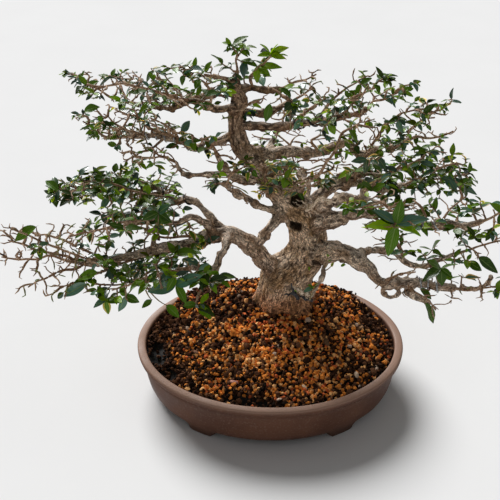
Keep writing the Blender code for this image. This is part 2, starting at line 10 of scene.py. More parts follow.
import bpy
import numpy as np
from bpy.props import FloatProperty, IntProperty, PointerProperty
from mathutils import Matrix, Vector


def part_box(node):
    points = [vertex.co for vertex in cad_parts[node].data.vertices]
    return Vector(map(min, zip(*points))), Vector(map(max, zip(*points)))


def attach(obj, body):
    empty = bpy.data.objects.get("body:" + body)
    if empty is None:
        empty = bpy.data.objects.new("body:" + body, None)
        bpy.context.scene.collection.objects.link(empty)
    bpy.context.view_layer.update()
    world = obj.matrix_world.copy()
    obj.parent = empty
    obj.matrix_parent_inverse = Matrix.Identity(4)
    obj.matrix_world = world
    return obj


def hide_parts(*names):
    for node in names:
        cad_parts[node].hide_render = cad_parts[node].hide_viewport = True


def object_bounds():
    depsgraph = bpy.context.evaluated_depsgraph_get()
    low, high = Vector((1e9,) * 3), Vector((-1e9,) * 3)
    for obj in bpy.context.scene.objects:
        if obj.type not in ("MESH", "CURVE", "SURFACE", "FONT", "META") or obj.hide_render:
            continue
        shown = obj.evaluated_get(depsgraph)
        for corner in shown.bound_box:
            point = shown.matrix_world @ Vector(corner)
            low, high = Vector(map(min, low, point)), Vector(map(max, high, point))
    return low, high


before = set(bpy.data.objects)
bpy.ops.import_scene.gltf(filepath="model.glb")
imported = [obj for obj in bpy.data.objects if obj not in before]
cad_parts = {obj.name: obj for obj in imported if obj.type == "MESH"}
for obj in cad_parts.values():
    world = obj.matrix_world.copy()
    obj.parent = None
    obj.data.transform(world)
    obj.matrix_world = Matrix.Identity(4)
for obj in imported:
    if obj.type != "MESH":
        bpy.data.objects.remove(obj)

bl_info = {
    "name": "Bonsai Tree",
    "version": (1, 0, 0),
    "blender": (4, 5, 0),
    "location": "3D View > Sidebar > Bonsai",
    "description": "Dresses the packed bonsai tree with bark, leaves, soil, clay and wire",
    "category": "Object",
}

MM = 0.001
CAD_BOX = [[float(value) for value in corner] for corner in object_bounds()]
POT_LOW, POT_HIGH = (np.array(corner, dtype=float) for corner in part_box("pot"))
POT_MIDDLE = np.array(((POT_LOW[0] + POT_HIGH[0]) / 2, (POT_LOW[1] + POT_HIGH[1]) / 2, POT_LOW[2]))
EAST, NORTH, UP = np.eye(3)
# How many points are compared with the wood at a time
BATCH = 4096
# How far the poles of a thin tube and of a limb stand past their end rings, as a share of the radius
TUBE_END = 0.6
WOOD_END = 0.5

# Pot
POT_HALF_WIDTH = 190.0
POT_HALF_DEPTH = 155.0
RIM_HEIGHT = 80.0
DRAIN_RADIUS = 8.0
DRAIN_OFFSET = 70.0
DRAIN_SIDES = 32
# Heights between which the drain holes are cut
DRAIN_CUT = (-8.0, 24.0)
FOOT_ANGLES = (46.0, 63.0)
FOOT_EDGE = 2.6

# (inset, height) of a ring between the feet, then at the foot, from the underside's middle outwards
POT_BASE = (
    (60.0, 5.5, 60.0, 5.5), (45.0, 5.5, 44.0, 5.5), (42.0, 5.5, 41.5, 3.5), (40.0, 5.5, 40.5, 0.4),
    (38.0, 5.5, 39.5, 0.0), (33.0, 5.5, 22.5, 0.0), (30.5, 5.8, 21.2, 0.3), (27.5, 6.8, 20.5, 1.4),
    (23.0, 9.2, 20.2, 5.0), (19.0, 12.6, 19.0, 10.5), (15.8, 17.0, 15.9, 17.0),
)
# (inset, height) up the wall, over the lip and down the inside to the floor
POT_WALL = (
    (12.6, 26.0), (10.6, 36.0), (9.0, 47.0), (7.6, 58.0), (6.9, 63.0), (7.6, 63.8), (7.5, 65.0),
    (6.3, 65.8), (5.7, 70.2), (4.4, 71.2), (1.8, 71.6), (0.7, 72.4), (0.15, 74.4), (0.0, 77.0),
    (0.35, 78.8), (1.3, 79.7), (2.6, 80.0), (5.0, 80.25), (7.6, 80.2), (9.3, 80.0), (10.6, 79.7),
    (11.6, 78.8), (12.1, 77.0), (12.6, 72.0), (14.5, 60.0), (19.0, 32.0), (28.0, 17.0), (38.0, 13.0),
)

# Soil
SOIL_EDGE_HEIGHT = 74.0
SOIL_TOP = 104.0
SOIL_BACK_HEAP = 9.0
SOIL_BACK_SPREAD = 9.0
SOIL_EDGE_INSET = 13.1
SOIL_SIDES = 128
SOIL_RINGS = 40
SHARE_HALVINGS = 18
SOIL_BED = ((38.4, 14.6), (28.4, 17.3), (19.4, 32.0), (14.9, 60.0))
PLATEAU_HALF_SIZES = (60.0, 51.0)
TRUNK_CENTRE = (22.0, 64.0)
TRUNK_FOOT_HALF_SIZES = (45.0, 38.0)

# Grains: their distance as a share of their size, and the rows of their grid on each side of the middle
GRAIN_GAP = 0.92
GRAIN_ROWS = 220

# Hollows in the soil: x, y, depth, size
SOIL_DIPS = (
    (-162, -8, 8, 13), (-158, -34, 10, 14), (-143, -70, 9, 15), (-62, -121, 6, 9), (-38, -125, 8, 13),
    (-12, -128, 7, 10), (26, -70, 4, 11), (150, 34, 3, 12), (-150, 30, 3, 14),
)
# Where they are deeper than this, nearly all grains are gone
SOIL_BARE_DEPTH = 4.2
SOIL_BARE_SHARE = 0.93

# Chips that lie on the soil: x, y, length, colour
SOIL_CHIPS = (
    (-6, 33, 15, (0.62, 0.42, 0.30)), (-51, -98, 12, (0.50, 0.25, 0.20)),
    (116, -82, 11, (0.66, 0.50, 0.36)), (44, -106, 9, (0.60, 0.44, 0.30)),
    (-104, -40, 10, (0.20, 0.10, 0.06)), (78, -30, 13, (0.16, 0.09, 0.05)),
    (-30, -60, 9, (0.58, 0.30, 0.14)), (130, 10, 10, (0.30, 0.17, 0.09)), (-82, 60, 12, (0.18, 0.10, 0.06)),
    (10, -128, 8, (0.70, 0.52, 0.40)),
)

# Where warm-coloured grains gather: how much, x, y, half width, half depth
WARM_SPOTS = ((0.42, 5, -50, 95, 75), (0.18, 110, 5, 50, 50), (0.20, -45, 105, 50, 26))
# Tan, orange, red, brown, dark, black and pumice grains
GRAIN_COLOURS = (
    (0.90, 0.47, 0.18), (0.78, 0.27, 0.052), (0.60, 0.14, 0.045), (0.135, 0.060, 0.030),
    (0.040, 0.017, 0.009), (0.010, 0.005, 0.003), (0.55, 0.40, 0.30),
)

# Trunk from below the soil to the top
TRUNK_ROUTE = (
    (22, 64, 84, 49), (22, 63, 104, 45.5), (22, 62, 123, 40), (25, 60, 148, 37), (43, 57, 174, 30),
    (52, 55, 198, 27), (52, 53, 222, 27), (46, 50, 247, 26), (34, 50, 266, 24), (21, 49, 282, 19.5),
    (6, 48, 298, 15.5), (-8, 47, 317, 13), (-21, 46, 337, 12.5), (-36, 44, 357, 12.5), (-43, 42, 373, 12.5),
    (-47, 40, 395, 11), (-46, 38, 418, 10), (-42, 37, 436, 9), (-48, 36, 450, 8), (-46, 35, 464, 5),
)
# Surface roots: angle, how far they swell the trunk's foot, half width in degrees
ROOTS = (
    (190, 0.26, 17), (228, 0.08, 13), (288, 0.20, 19), (322, 0.24, 15), (4, 0.17, 18), (70, 0.16, 22),
    (128, 0.15, 20),
)
TRUNK_STEP = 3.0
TRUNK_SIDES = 48

# Limbs, each from inside the wood that it grows from
LIMB_STEP = 2.5
LIMB_SIDES = 16
LIMB_WANDER = 1.9
# How far one limb's bark pattern is from the next limb's
LIMB_GRAIN_SHIFT = 400.0
LIMBS = {
    "left_low": (
        (13, 56, 150, 21), (0, 53, 170, 15.5), (-14, 44, 193, 13.5), (-33, 30, 224, 12.6),
        (-53, 19, 245, 12.4), (-87, 8, 247, 10.5), (-101, 0, 241, 8.8), (-142, -16, 244, 7.2),
        (-173, -24, 240, 6.4), (-226, -34, 234, 4.8), (-258, -38, 237, 3.6)),
    "left_back": (
        (-67, 16, 251, 8), (-91, 34, 273, 5.4), (-107, 44, 282, 4.9), (-132, 56, 276, 4.6),
        (-152, 68, 284, 3.8), (-170, 76, 291, 3.2)),
    "left_front": (
        (-77, 11, 251, 7.5), (-90, -10, 282, 5.2), (-108, -30, 300, 4.6), (-122, -46, 302, 3.8),
        (-141, -56, 310, 3.0)),
    "left_hang": (
        (-56, 16, 248, 8), (-60, -26, 255, 5.9), (-68, -48, 250, 5.2), (-78, -62, 239, 4.5),
        (-103, -72, 249, 3.3)),
    "arch": (
        (29, 44, 259, 11), (12, 32, 264, 8.6), (3, 24, 260, 7.3), (-6, 21, 251, 7.0), (-12, 22, 240, 7.2),
        (-15, 28, 226, 7.5)),
    "stub_left": (
        (23, 46, 274, 8.5), (-2, 34, 275, 5.4), (-22, 22, 291, 4.4), (-30, 14, 303, 4.3),
        (-51, 0, 319, 4.0), (-58, -8, 332, 3.2)),
    "mid_left": (
        (-5, 46, 313, 8), (-40, 42, 317, 5.4), (-58, 34, 331, 4.8), (-69, 22, 356, 4.2),
        (-72, 12, 370, 3.2)),
    "mid_left_side": ((-55, 36, 329, 4.6), (-87, 24, 333, 3.9), (-114, 14, 340, 3.4), (-123, 6, 358, 2.7)),
    "upper_left": (
        (-45, 41, 380, 8.5), (-55, 44, 380, 6.8), (-76, 48, 368, 5.6), (-102, 54, 358, 5.4),
        (-128, 58, 368, 5.0), (-179, 54, 375, 4.2), (-209, 48, 375, 3.3)),
    "top_left_back": (
        (-45, 37, 439, 7), (-57, 44, 439, 5.6), (-82, 62, 430, 5.0), (-106, 80, 415, 4.5),
        (-134, 98, 394, 4.1), (-174, 118, 388, 3.4), (-199, 126, 391, 2.8)),
    "top_left": (
        (-45, 38, 421, 6.3), (-53, 26, 427, 5.6), (-72, 6, 435, 4.9), (-90, -12, 451, 4.2),
        (-112, -26, 460, 3.2)),
    "top_twig": ((-46, 35, 457, 4.6), (-54, 26, 463, 3.9), (-73, 8, 475, 3)),
    "right_mid": (
        (45, 50, 260, 12), (77, 14, 295, 7.6), (95, 0, 312, 7.0), (115, -14, 315, 5.2),
        (133, -28, 320, 3.6)),
    "right_back": (
        (37, 52, 265, 12), (65, 66, 274, 9.6), (82, 80, 282, 8.2), (106, 94, 282, 7), (130, 106, 277, 6.4),
        (160, 114, 262, 5.6), (193, 122, 261, 4.3)),
    "right_back_side": (
        (79, 78, 282, 6.9), (101, 98, 294, 4.9), (140, 126, 278, 4.3), (170, 142, 265, 3.7)),
    "right_front": (
        (51, 46, 236, 12), (81, 12, 274, 8.0), (97, -2, 285, 6.4), (128, -28, 303, 5.4),
        (155, -44, 306, 5.0), (186, -56, 303, 5), (208, -62, 309, 5), (237, -68, 310, 4.3),
        (257, -72, 320, 3.6)),
    "right_low": (
        (51, 54, 188, 17), (69, 32, 203, 16.5), (84, 16, 219, 14.4), (101, 4, 222, 13.4),
        (116, -8, 219, 11.4), (132, -18, 212, 8), (148, -26, 197, 6.7), (189, -36, 202, 6),
        (244, -44, 199, 4.8)),
    "right_low_side": (
        (111, -3, 225, 5.6), (146, 16, 221, 4.2), (169, 24, 209, 4.0), (204, 30, 184, 3.8),
        (224, 32, 189, 3.8), (260, 34, 204, 3.5)),
    "front_cut": (
        (67, 40, 190, 7), (76, 14, 204, 4.2), (72, -6, 204, 3.2), (64, -26, 198, 3.0), (54, -42, 186, 2.7)),
    "upper_right_back": (
        (-39, 44, 362, 8.5), (-29, 52, 352, 7.9), (-8, 64, 344, 7.8), (25, 80, 339, 7.4),
        (60, 94, 328, 6.9), (101, 108, 338, 5.5), (127, 114, 318, 5.3), (156, 118, 322, 4.9),
        (198, 124, 337, 4.1)),
    "upper_right": (
        (-46, 40, 395, 7.7), (-25, 30, 399, 6.4), (1, 18, 405, 5.7), (40, 0, 416, 4.9), (77, -20, 433, 4.2),
        (107, -36, 451, 3.5)),
    "top_right": ((-44, 36, 447, 6), (-29, 44, 445, 4.2), (-9, 56, 440, 3.5), (10, 66, 436, 2.8)),
    "top_right_back": (
        (-44, 38, 415, 6.4), (-29, 48, 411, 5.2), (-12, 60, 401, 5.1), (5, 72, 403, 4.5),
        (24, 84, 409, 3.6)),
    "front_thin": (
        (-2, 47, 306, 6), (2, 26, 318, 3.2), (17, -6, 326, 2.5), (34, -26, 340, 2.3), (53, -46, 368, 1.9)),
    "back_low": ((40, 52, 261, 13), (46, 96, 260, 9.5), (52, 130, 261, 7.5), (42, 164, 263, 5)),
    "back_high": ((-18, 46, 331, 8), (-4, 86, 338, 6.6), (7, 120, 343, 3.0)),
}
# Short dead stubs and curls that grow from the limbs
STUBS = (
    (
        (180, -26, 194, 3.8), (170, -26, 186.4, 3.5), (164, -26, 189.6, 3.5), (158, -27, 190.3, 3.4),
        (152, -27, 188.2, 3.4), (149, -28, 184.0, 3.3), (150, -28, 179.2, 3.2), (154, -28, 175.2, 3.2),
        (160, -29, 173.4, 3.1), (166, -29, 174.4, 3.1), (170, -30, 178.0, 3.0), (172, -30, 183.2, 3.0)),
    (
        (190, -32, 199, 5.5), (186, -27, 184, 5.8), (192, -27, 174, 4.6), (205, -27, 168, 3.6),
        (216, -27, 162, 2.4)),
    ((252, -42, 199, 4.4), (268, -42, 196, 3.6), (282, -42, 202, 3.2), (290, -42, 216, 2.8)),
    ((-154, -20, 243, 6.0), (-156, -22, 256, 4.4), (-153, -24, 268, 3.4)),
    ((108, -10, 312, 5.0), (114, -14, 322, 3.4), (112, -16, 334, 2.2)),
    ((56, 44, 238, 12.5), (72, 26, 258, 11.0), (86, 10, 272, 10.0), (95, 0, 282, 9.4)),
)

# Swellings on the wood: middle, size, and how far they rise
SWELLINGS = (
    ((61, 27, 203), 14.0, (-0.6, -6.0, 0.8)), ((44, 24, 216), 8.0, (-0.5, -2.2, 0.3)),
    ((-27, 16, 240), 8.0, (-0.5, -2.4, 0.8)), ((112, -10, 222), 9.0, (0.4, -0.6, 2.6)),
    ((-50, 12, 256), 8.0, (-0.3, -1.0, 2.6)), ((97, -4, 313), 7.0, (0.0, -1.0, 2.0)),
)
# Hollows and scars: middle, half sizes, how far the floor moves, height of the rim, and how dark the
# painted shade inside them is
HOLLOWS = (
    ((33.5, 24, 251.5), (9.2, 15, 7.0), (0.8, 17, -3), 1.6, 0.9),
    ((37, 33, 291), (11.5, 14, 10.0), (-1, 13, -15), 1.5, 0.85),
    ((62, 18, 200), (5.4, 12, 6.0), (-0.8, 3.6, -0.3), 3.6, 0.85),
    ((47, 24, 215), (3.8, 8, 3.4), (-0.6, 3.4, -0.4), 0.9, 0.7),
    ((117, -10, 212), (6, 8, 4), (-0.6, 3.0, -1.5), 0.8, 0.8),
    ((-20, 11, 247), (4.5, 8, 4.5), (0.6, 3.6, 0.4), 0.9, 0.7),
    ((-98, -4, 247), (4, 8, 3.5), (0.4, 2.6, -0.5), 0.8, 0.6),
)
# Torn splinters by the hollow and on the cut branch: start, end, radius at the start, and how pale
SPLINTER_SIDES = 7
SPLINTERS = (
    ((50, 24, 285), (32, 22, 297), 1.7, 0.9),
    ((47, 25, 283), (28, 24, 292), 1.5, 0.8),
    ((49, 24, 284), (52, 15, 274), 2.6, 1.0),
    ((52, 22, 284), (63, 14, 279), 2.2, 1.0),
    ((49, 26, 284), (43, 30, 300), 1.3, 0.6),
    ((52, 22, 284), (66, 18, 306), 1.5, 0.8),
    ((54, 26, 286), (59, 28, 299), 1.6, 0.6),
    ((45, 30, 285), (36, 20, 286), 1.8, 0.7),
    ((50, 22, 282), (93, -8, 322), 2.6, 1.0),
    ((73, 8, 299), (83, 0, 304), 1.8, 1.0),
    ((52, -50, 184), (32, -56, 194), 2.8, 0.0),
    ((34, -56, 192), (25, -57, 216), 2.8, 0.0),
    ((30, -57, 200), (16, -59, 199), 2.4, 0.0),
    ((47, -47, 185), (55, -47, 192), 3.6, 1.0),
    ((50, -50, 192), (27, -54, 209), 4.0, 1.0),
    ((44, -51, 190), (32, -54, 202), 2.6, 0.8),
)

# Training wire: limb, shares of its length where the coil starts and ends, turns, and its metal
WIRE_RADIUS = 1.25
WIRE_SIDES = 10
COIL_STEPS = 18
WIRES = {
    "wire_left_back": ("left_back", 0.42, 0.86, 3, "dark"),
    "wire_upper_left": ("upper_left", 0.5, 0.78, 4, "silver"),
    "wire_upper_right": ("upper_right", 0.42, 0.74, 3, "dark"),
    "wire_right_front": ("right_front", 0.66, 0.86, 4, "silver"),
    "wire_right_low": ("right_low", 0.78, 0.92, 3, "silver"),
}

# Sprays: route of the stem, reach of the side shoots, length of the leaves, share of the shoots that
# bear leaves. A spray starts at the tip of the limb of the same name, or else on the limb that is
# named last, at that share of its length
SPRAYS = {
    "left_tip": (((-293, -36, 244), (-328, -36, 238), (-352, -40, 246)), 38, 14, 0.1, "left_low", 1.0),
    "left_shoot": (((-238, -62, 258), (-285, -66, 282), (-322, -70, 306)), 34, 16, 0.25, "left_low", 0.86),
    "left_under": (((-160, -52, 232), (-190, -72, 226), (-226, -82, 232)), 46, 19, 0.75, "left_low", 0.62),
    "left_back": (((-205, 84, 292), (-248, 90, 278), (-288, 92, 268)), 44, 16, 0.95),
    "left_front": (((-172, -66, 316), (-210, -74, 310), (-252, -78, 300)), 44, 17, 0.42),
    "left_hang": (((-130, -80, 252), (-160, -90, 240)), 40, 18, 0.58),
    "stub_left": (((-56, -26, 352), (-48, -44, 372)), 36, 14, 0.45),
    "mid_left": (((-76, 2, 388), (-70, -14, 402)), 36, 13, 0.45),
    "mid_left_side": (((-140, -4, 372), (-172, -16, 380)), 36, 14, 0.35),
    "upper_left": (((-226, 40, 388), (-242, 34, 404)), 30, 13, 0.3),
    "top_left_back": (((-226, 132, 400), (-252, 134, 414)), 50, 14, 0.45),
    "top_left": (((-133, -36, 473), (-159, -42, 482), (-183, -50, 489), (-202, -54, 485)), 44, 13, 0.62),
    "top_twig": (((-92, -4, 486), (-110, -18, 494)), 28, 13, 0.6),
    "apex": (((-46, 32, 483), (-44, 28, 498)), 26, 15, 1.0, "trunk", 1.0),
    "top_right": (((28, 76, 439), (44, 82, 441), (57, 88, 446)), 20, 14, 0.1),
    "top_right_back": (((41, 98, 413), (55, 106, 421)), 26, 13, 0.12),
    "upper_right": (((116, -44, 466), (130, -50, 473), (144, -56, 483)), 34, 14, 0.6),
    "upper_right_back": (((215, 126, 337), (237, 126, 338), (254, 124, 348)), 20, 12, 0.12),
    "right_back": (((222, 128, 269), (248, 130, 271), (269, 132, 272)), 46, 19, 1.0),
    "right_back_side": (((194, 150, 285), (219, 160, 295), (240, 166, 296)), 42, 18, 0.9),
    "right_mid": (((142, -62, 332), (146, -98, 342), (141, -128, 349)), 40, 16, 0.3),
    "right_front": (((276, -78, 336), (296, -84, 348)), 36, 15, 0.6),
    "right_low_side": (((290, 36, 214), (318, 38, 222)), 36, 15, 0.3),
    "right_low": (((270, -52, 204), (294, -58, 212)), 36, 17, 0.26),
    "front_cut": (((34, -52, 190), (31, -52, 197)), 8, 9, 0.3),
    "front_thin": (((62, -58, 392), (70, -66, 408)), 40, 15, 0.45),
    "back_low": (((34, 192, 272), (28, 214, 282)), 56, 16, 0.55),
    "back_high": (((15, 140, 353), (19, 156, 357)), 34, 14, 0.45),
    "right_low_side_2": (((172, 62, 226), (190, 92, 236)), 40, 16, 0.45, "right_low_side", 0.5),
    "upper_back_2": (((117, 132, 349), (130, 152, 352)), 34, 12, 0.35, "upper_right_back", 0.62),
}
# More leafy stems: limb, share of its length where the stem starts, and the rest as for a spray.
# Their leaves join the nearest spray
SHOOTS = (
    ("left_low", 0.45, ((-142, -4, 253), (-164, -4, 265), (-193, -6, 275)), 34, 16, 0.55),
    ("left_low", 0.72, ((-224, -52, 230), (-252, -60, 223), (-278, -64, 213)), 40, 18, 0.5),
    ("left_low", 0.88, ((-262, -20, 252), (-290, -14, 262), (-312, -14, 262)), 36, 13, 0.12),
    ("left_low", 0.95, ((-285, -62, 232), (-312, -80, 226)), 32, 13, 0.12),
    ("left_back", 0.5, ((-144, 36, 275), (-177, 30, 273), (-215, 26, 272)), 38, 17, 0.7),
    ("left_back", 0.9, ((-183, 66, 284), (-212, 62, 290), (-244, 58, 294), (-277, 54, 290)), 38, 17, 1.1),
    ("left_back", 0.95, ((-184, 92, 269), (-216, 104, 271), (-258, 112, 265)), 36, 17, 1.0),
    ("left_front", 0.8, ((-175, -40, 296), (-207, -30, 284), (-236, -26, 275)), 34, 16, 0.5),
    ("left_hang", 0.7, ((-87, -70, 224), (-99, -74, 205)), 24, 20, 0.5),
    ("left_hang", 1.0, ((-154, -94, 253), (-176, -98, 243), (-202, -98, 234)), 34, 19, 0.85),
    ("upper_left", 0.5, ((-135, 46, 391), (-157, 40, 406)), 30, 13, 0.42),
    ("upper_left", 0.6, ((-160, 40, 361), (-183, 34, 352)), 28, 13, 0.45),
    ("upper_left", 0.4, ((-105, 30, 385), (-128, 18, 398), (-152, 12, 408)), 30, 13, 0.42),
    ("upper_left", 0.75, ((-185, 30, 392), (-205, 20, 402)), 28, 13, 0.34),
    ("upper_left", 0.85, ((-206, 72, 384), (-224, 88, 390)), 28, 13, 0.34),
    ("top_left_back", 0.5, ((-122, 70, 432), (-144, 62, 451)), 34, 13, 0.75),
    ("top_left_back", 0.72, ((-160, 84, 431), (-179, 78, 442), (-199, 72, 447)), 34, 13, 0.75),
    ("top_left", 0.55, ((-74, -20, 467), (-83, -34, 485)), 32, 13, 0.6),
    ("top_right", 0.35, ((-27, 34, 465), (-14, 26, 481), (-5, 20, 496)), 26, 17, 0.95),
    ("top_right", 0.8, ((10, 44, 436), (18, 36, 432)), 18, 15, 0.7),
    ("upper_right", 0.4, ((40, 8, 429), (54, 2, 443), (66, -2, 453)), 34, 13, 0.75),
    ("upper_right", 0.62, ((73, 0, 451), (88, 6, 461), (105, 14, 468)), 36, 14, 0.6),
    ("upper_right", 0.82, ((90, -44, 468), (104, -52, 480), (117, -58, 490)), 34, 14, 0.6),
    ("upper_right_back", 0.45, ((54, 70, 359), (66, 60, 371), (79, 56, 370)), 12, 12, 0.1),
    ("upper_right_back", 0.55, ((98, 92, 362), (116, 88, 373), (132, 84, 372)), 30, 14, 0.5),
    ("upper_right_back", 0.75, (
        (151, 100, 361), (167, 90, 383), (186, 84, 398), (210, 84, 398)), 34, 14, 0.6),
    ("upper_right_back", 0.9, ((194, 112, 358), (213, 106, 379), (231, 102, 391)), 36, 15, 1.0),
    ("right_back", 0.55, ((116, 76, 311), (125, 70, 326), (138, 66, 336)), 34, 18, 0.85),
    ("right_mid", 0.8, ((121, -16, 332), (129, -24, 345)), 28, 17, 0.45),
    ("right_front", 0.45, ((148, -66, 297), (159, -84, 285)), 26, 16, 0.3),
    ("right_front", 0.8, ((219, -54, 327), (238, -48, 341)), 34, 16, 0.8),
    ("right_low", 0.72, ((199, -62, 196), (214, -72, 184)), 22, 20, 0.3),
    ("right_low", 0.6, ((170, -44, 222), (184, -60, 236)), 22, 15, 0.14),
    ("upper_left", 0.55, ((-158, 40, 392), (-171, 30, 411), (-190, 24, 419)), 28, 13, 0.34),
    ("upper_left", 0.7, ((-192, 70, 363), (-215, 84, 363), (-235, 92, 362)), 28, 13, 0.34),
    ("upper_left", 0.9, ((-210, 30, 402), (-220, 22, 414)), 26, 13, 0.34),
    ("left_back", 0.6, ((-201, 40, 304), (-220, 34, 316), (-243, 30, 320)), 38, 16, 1.1),
    ("left_back", 0.8, ((-225, 100, 258), (-255, 112, 261), (-282, 116, 259)), 36, 16, 1.0),
    ("left_low", 0.92, ((-304, -30, 250), (-326, -30, 258), (-342, -34, 268)), 36, 11, 0.1),
    ("upper_right_back", 0.65, ((123, 90, 321), (141, 84, 339), (163, 80, 347)), 36, 14, 0.7),
    ("right_back", 0.7, ((167, 84, 305), (185, 78, 318), (204, 74, 330)), 34, 18, 0.9),
    ("right_back", 0.95, ((226, 90, 305), (240, 84, 316), (256, 80, 318)), 34, 18, 0.9),
    ("trunk", 0.86, ((-30, 10, 440), (-18, -12, 452)), 22, 14, 0.3),
    ("trunk", 0.62, ((-14, 14, 352), (-6, -16, 364)), 40, 13, 0.5),
    ("trunk", 0.53, ((20, 20, 310), (36, 2, 328), (54, -8, 334)), 36, 15, 0.85),
    ("trunk", 0.57, ((4, 20, 322), (6, 2, 342), (22, -8, 350)), 32, 14, 0.7),
)

# Twigs: how they grow towards the places that draw them
TWIG_BEARING_RADIUS = 7.5
TWIG_BEARING_SHARE = 0.7
TWIG_STEP = 5.6
TWIG_NEAR = 6.2
TWIG_FAR = 46.0
TWIG_WOBBLE = 0.24
TWIG_ROUNDS = 60
STEM_STEP = 3.0
STEM_SIDES = 7
STEM_WANDER = 2.2
STEM_FIRST_SEED = 700
TWIG_SIDES = 4
STALK_SIDES = 5

# Leaves: pairs from a twig's tip back, with how far they open, their size, how young they are, and
# their chance
LEAF_PAIRS = (
    (40, 0.62, 0.30, 0.95), (64, 0.95, 0.04, 1.0), (74, 1.05, -0.05, 0.8), (80, 0.95, -0.08, 0.4),
    (80, 0.85, -0.08, 0.2),
)
# Twigs and leaves keep above this height over the pot, and within this of the solids' box
LEAVES_OVER_SOIL = 112.0
LEAVES_PAST_BOX = 6.0
# Distance between the marks on a stem, which tell the spray that a leaf belongs to
MARK_GAP = 8.0
# Stations along a blade, and finer ones for leaves longer than the length after them
LEAF_STATIONS = np.array((0.0, 0.12, 0.30, 0.52, 0.76, 0.92))
FINE_LEAF_STATIONS = np.array((0.0, 0.06, 0.15, 0.27, 0.41, 0.55, 0.69, 0.81, 0.91, 0.97))
FINE_LEAF_LENGTH = 17.0
# A ring of a blade: left edge, middle, right edge, and the middle of the underside
LEAF_ACROSS = np.array((-1.0, 0.0, 1.0, 0.0))
LEAF_UNDER = np.array((0.0, 0.0, 0.0, 1.0))
# Leaf colours by tone: blue-green up to 0.09, a painted bluish sheen, then from old and dark to young and
# bright
LEAF_GREENS = (
    (0.0, (0.075, 0.175, 0.135)), (0.09, (0.038, 0.105, 0.068)), (0.12, (0.012, 0.042, 0.001)),
    (0.34, (0.070, 0.155, 0.004)), (0.55, (0.125, 0.220, 0.003)), (0.78, (0.210, 0.310, 0.003)),
    (1.0, (0.40, 0.45, 0.012)),
)
# Where leaves with yellowed edges stand most densely, and how long they get
YELLOWED_MIDDLE = (15.0, 20.0, 335.0)
YELLOWED_SIZES = (70.0, 90.0, 60.0)
YELLOWED_LENGTH = 24.0

# A rosette of large leaves stands free of small ones
ROSETTE_CENTRE = (140.0, -130.0, 350.0)
ROSETTE_CLEARANCE = 22.0
LARGE_LEAF_UPWARD = (0.05, -0.40, 0.90)
# Leaves that stand out by their size: the base of each cluster, then each leaf's reach and tone, where a
# tone under 0.09 paints a bluish sheen
LEAF_CLUSTERS = (
    ((140, -130, 350), (
        (-36, -6, 2, 0.80), (-24, 5, 19, 0.06), (4, 5, 30, 0.24), (38, 3, 9, 0.05), (29, -10, -7, 0.78),
        (-10, -16, -35, 0.3), (-28, 12, 13, 0.12))),
    ((-122, -96, 241), ((-35, -8, -4, 0.07), (29, -8, 21, 0.06), (-9, -8, 30, 0.75), (13, -8, -24, 0.3))),
    ((-236, -84, 234), ((-32, -8, -13, 0.06),)),
    ((-224, -70, 243), ((-26, -8, -5, 0.4),)),
    ((-212, -92, 215), ((-16, -8, -4, 0.08), (-7, -8, 26, 0.4), (2, -8, -18, 0.35), (19, -8, 4, 0.3))),
    ((-187, -92, 221), ((-8, -8, -21, 0.07), (18, -8, -4, 0.2), (-2, -8, 27, 0.35))),
    ((-136, -90, 205), ((17, -8, -13, 0.35),)),
    ((-154, -90, 213), ((-13, -6, -8, 0.3),)),
    ((-141, -70, 330), (
        (-20, -8, -4, 0.15), (-9, -8, 17, 0.2), (14, -8, 16, 0.1), (17, -8, -8, 0.15), (0, -8, -14, 0.2))),
    ((-296, -60, 304), ((-29, -6, -17, 0.3),)),
    ((-83, 10, 480), ((7, -4, 15, 0.4),)),
    ((-219, -40, 481), ((15, -4, 10, 0.3),)),
    ((-244, 60, 407), ((19, -6, 10, 0.3),)),
    ((-4, 22, 498), (
        (-11, -5, 16, 0.85), (6, -5, 16, 0.9), (20, -5, 12, 0.88), (17, -5, -2, 0.8), (-16, -5, 1, 0.7))),
    ((-42, 30, 500), ((-8, -5, 8, 0.55), (5, -5, 13, 0.6), (-10, -5, -4, 0.4), (11, -5, -7, 0.6))),
    ((-20, 26, 481), ((-1, -6, -20, 0.68), (16, -6, -9, 0.5), (-16, -6, 10, 0.45), (29, -6, 5, 0.55))),
    ((-4, 30, 430), ((-5, -6, -23, 0.3),)),
    ((9, 40, 446), ((14, -6, -6, 0.2),)),
    ((128, 64, 335), ((-21, -6, 0, 0.1), (16, -6, 9, 0.15), (-1, -6, -20, 0.12))),
    ((141, 70, 337), ((18, -6, -17, 0.1),)),
    ((214, 140, 313), ((17, -6, 8, 0.3),)),
    ((226, 120, 299), ((16, -8, -4, 0.28),)),
    ((258, 116, 277), ((40, -8, -20, 0.08),)),
    ((265, 120, 286), ((14, -8, -22, 0.12),)),
    ((245, 130, 299), ((18, -6, 9, 0.12),)),
    ((126, -24, 336), ((-15, -8, 16, 0.3), (12, -8, 14, 0.35))),
    ((203, -54, 182), ((16, -6, -30, 0.2),)),
    ((195, -50, 202), ((17, -4, -13, 0.25),)),
    ((217, -56, 239), (
        (-24, -8, -15, 0.15), (-18, -8, 19, 0.3), (17, -8, 15, 0.3), (16, -8, -9, 0.2), (4, -8, -23, 0.2))),
    ((289, 30, 200), ((30, -6, -23, 0.15),)),
    ((276, 32, 190), ((22, -6, -8, 0.2),)),
    ((221, 20, 218), ((-19, -8, 12, 0.4), (3, -8, 23, 0.45), (15, -8, -3, 0.4))),
    ((54, -52, 205), ((-13, -4, -2, 0.04), (5, -3, 10, 0.42), (-6, -3, 8, 0.5))),
    ((75, -12, 228), ((-1, -3, 7, 0.4),)),
    ((77, -12, 220), ((2, -3, 7, 0.35),)),
    ((80, -14, 214), ((2, -3, 7, 0.3),)),
    ((52, 12, 196), ((1, -4, -4, 0.5),)),
    ((93, -16, 216), ((5, -4, 5, 0.55),)),
)
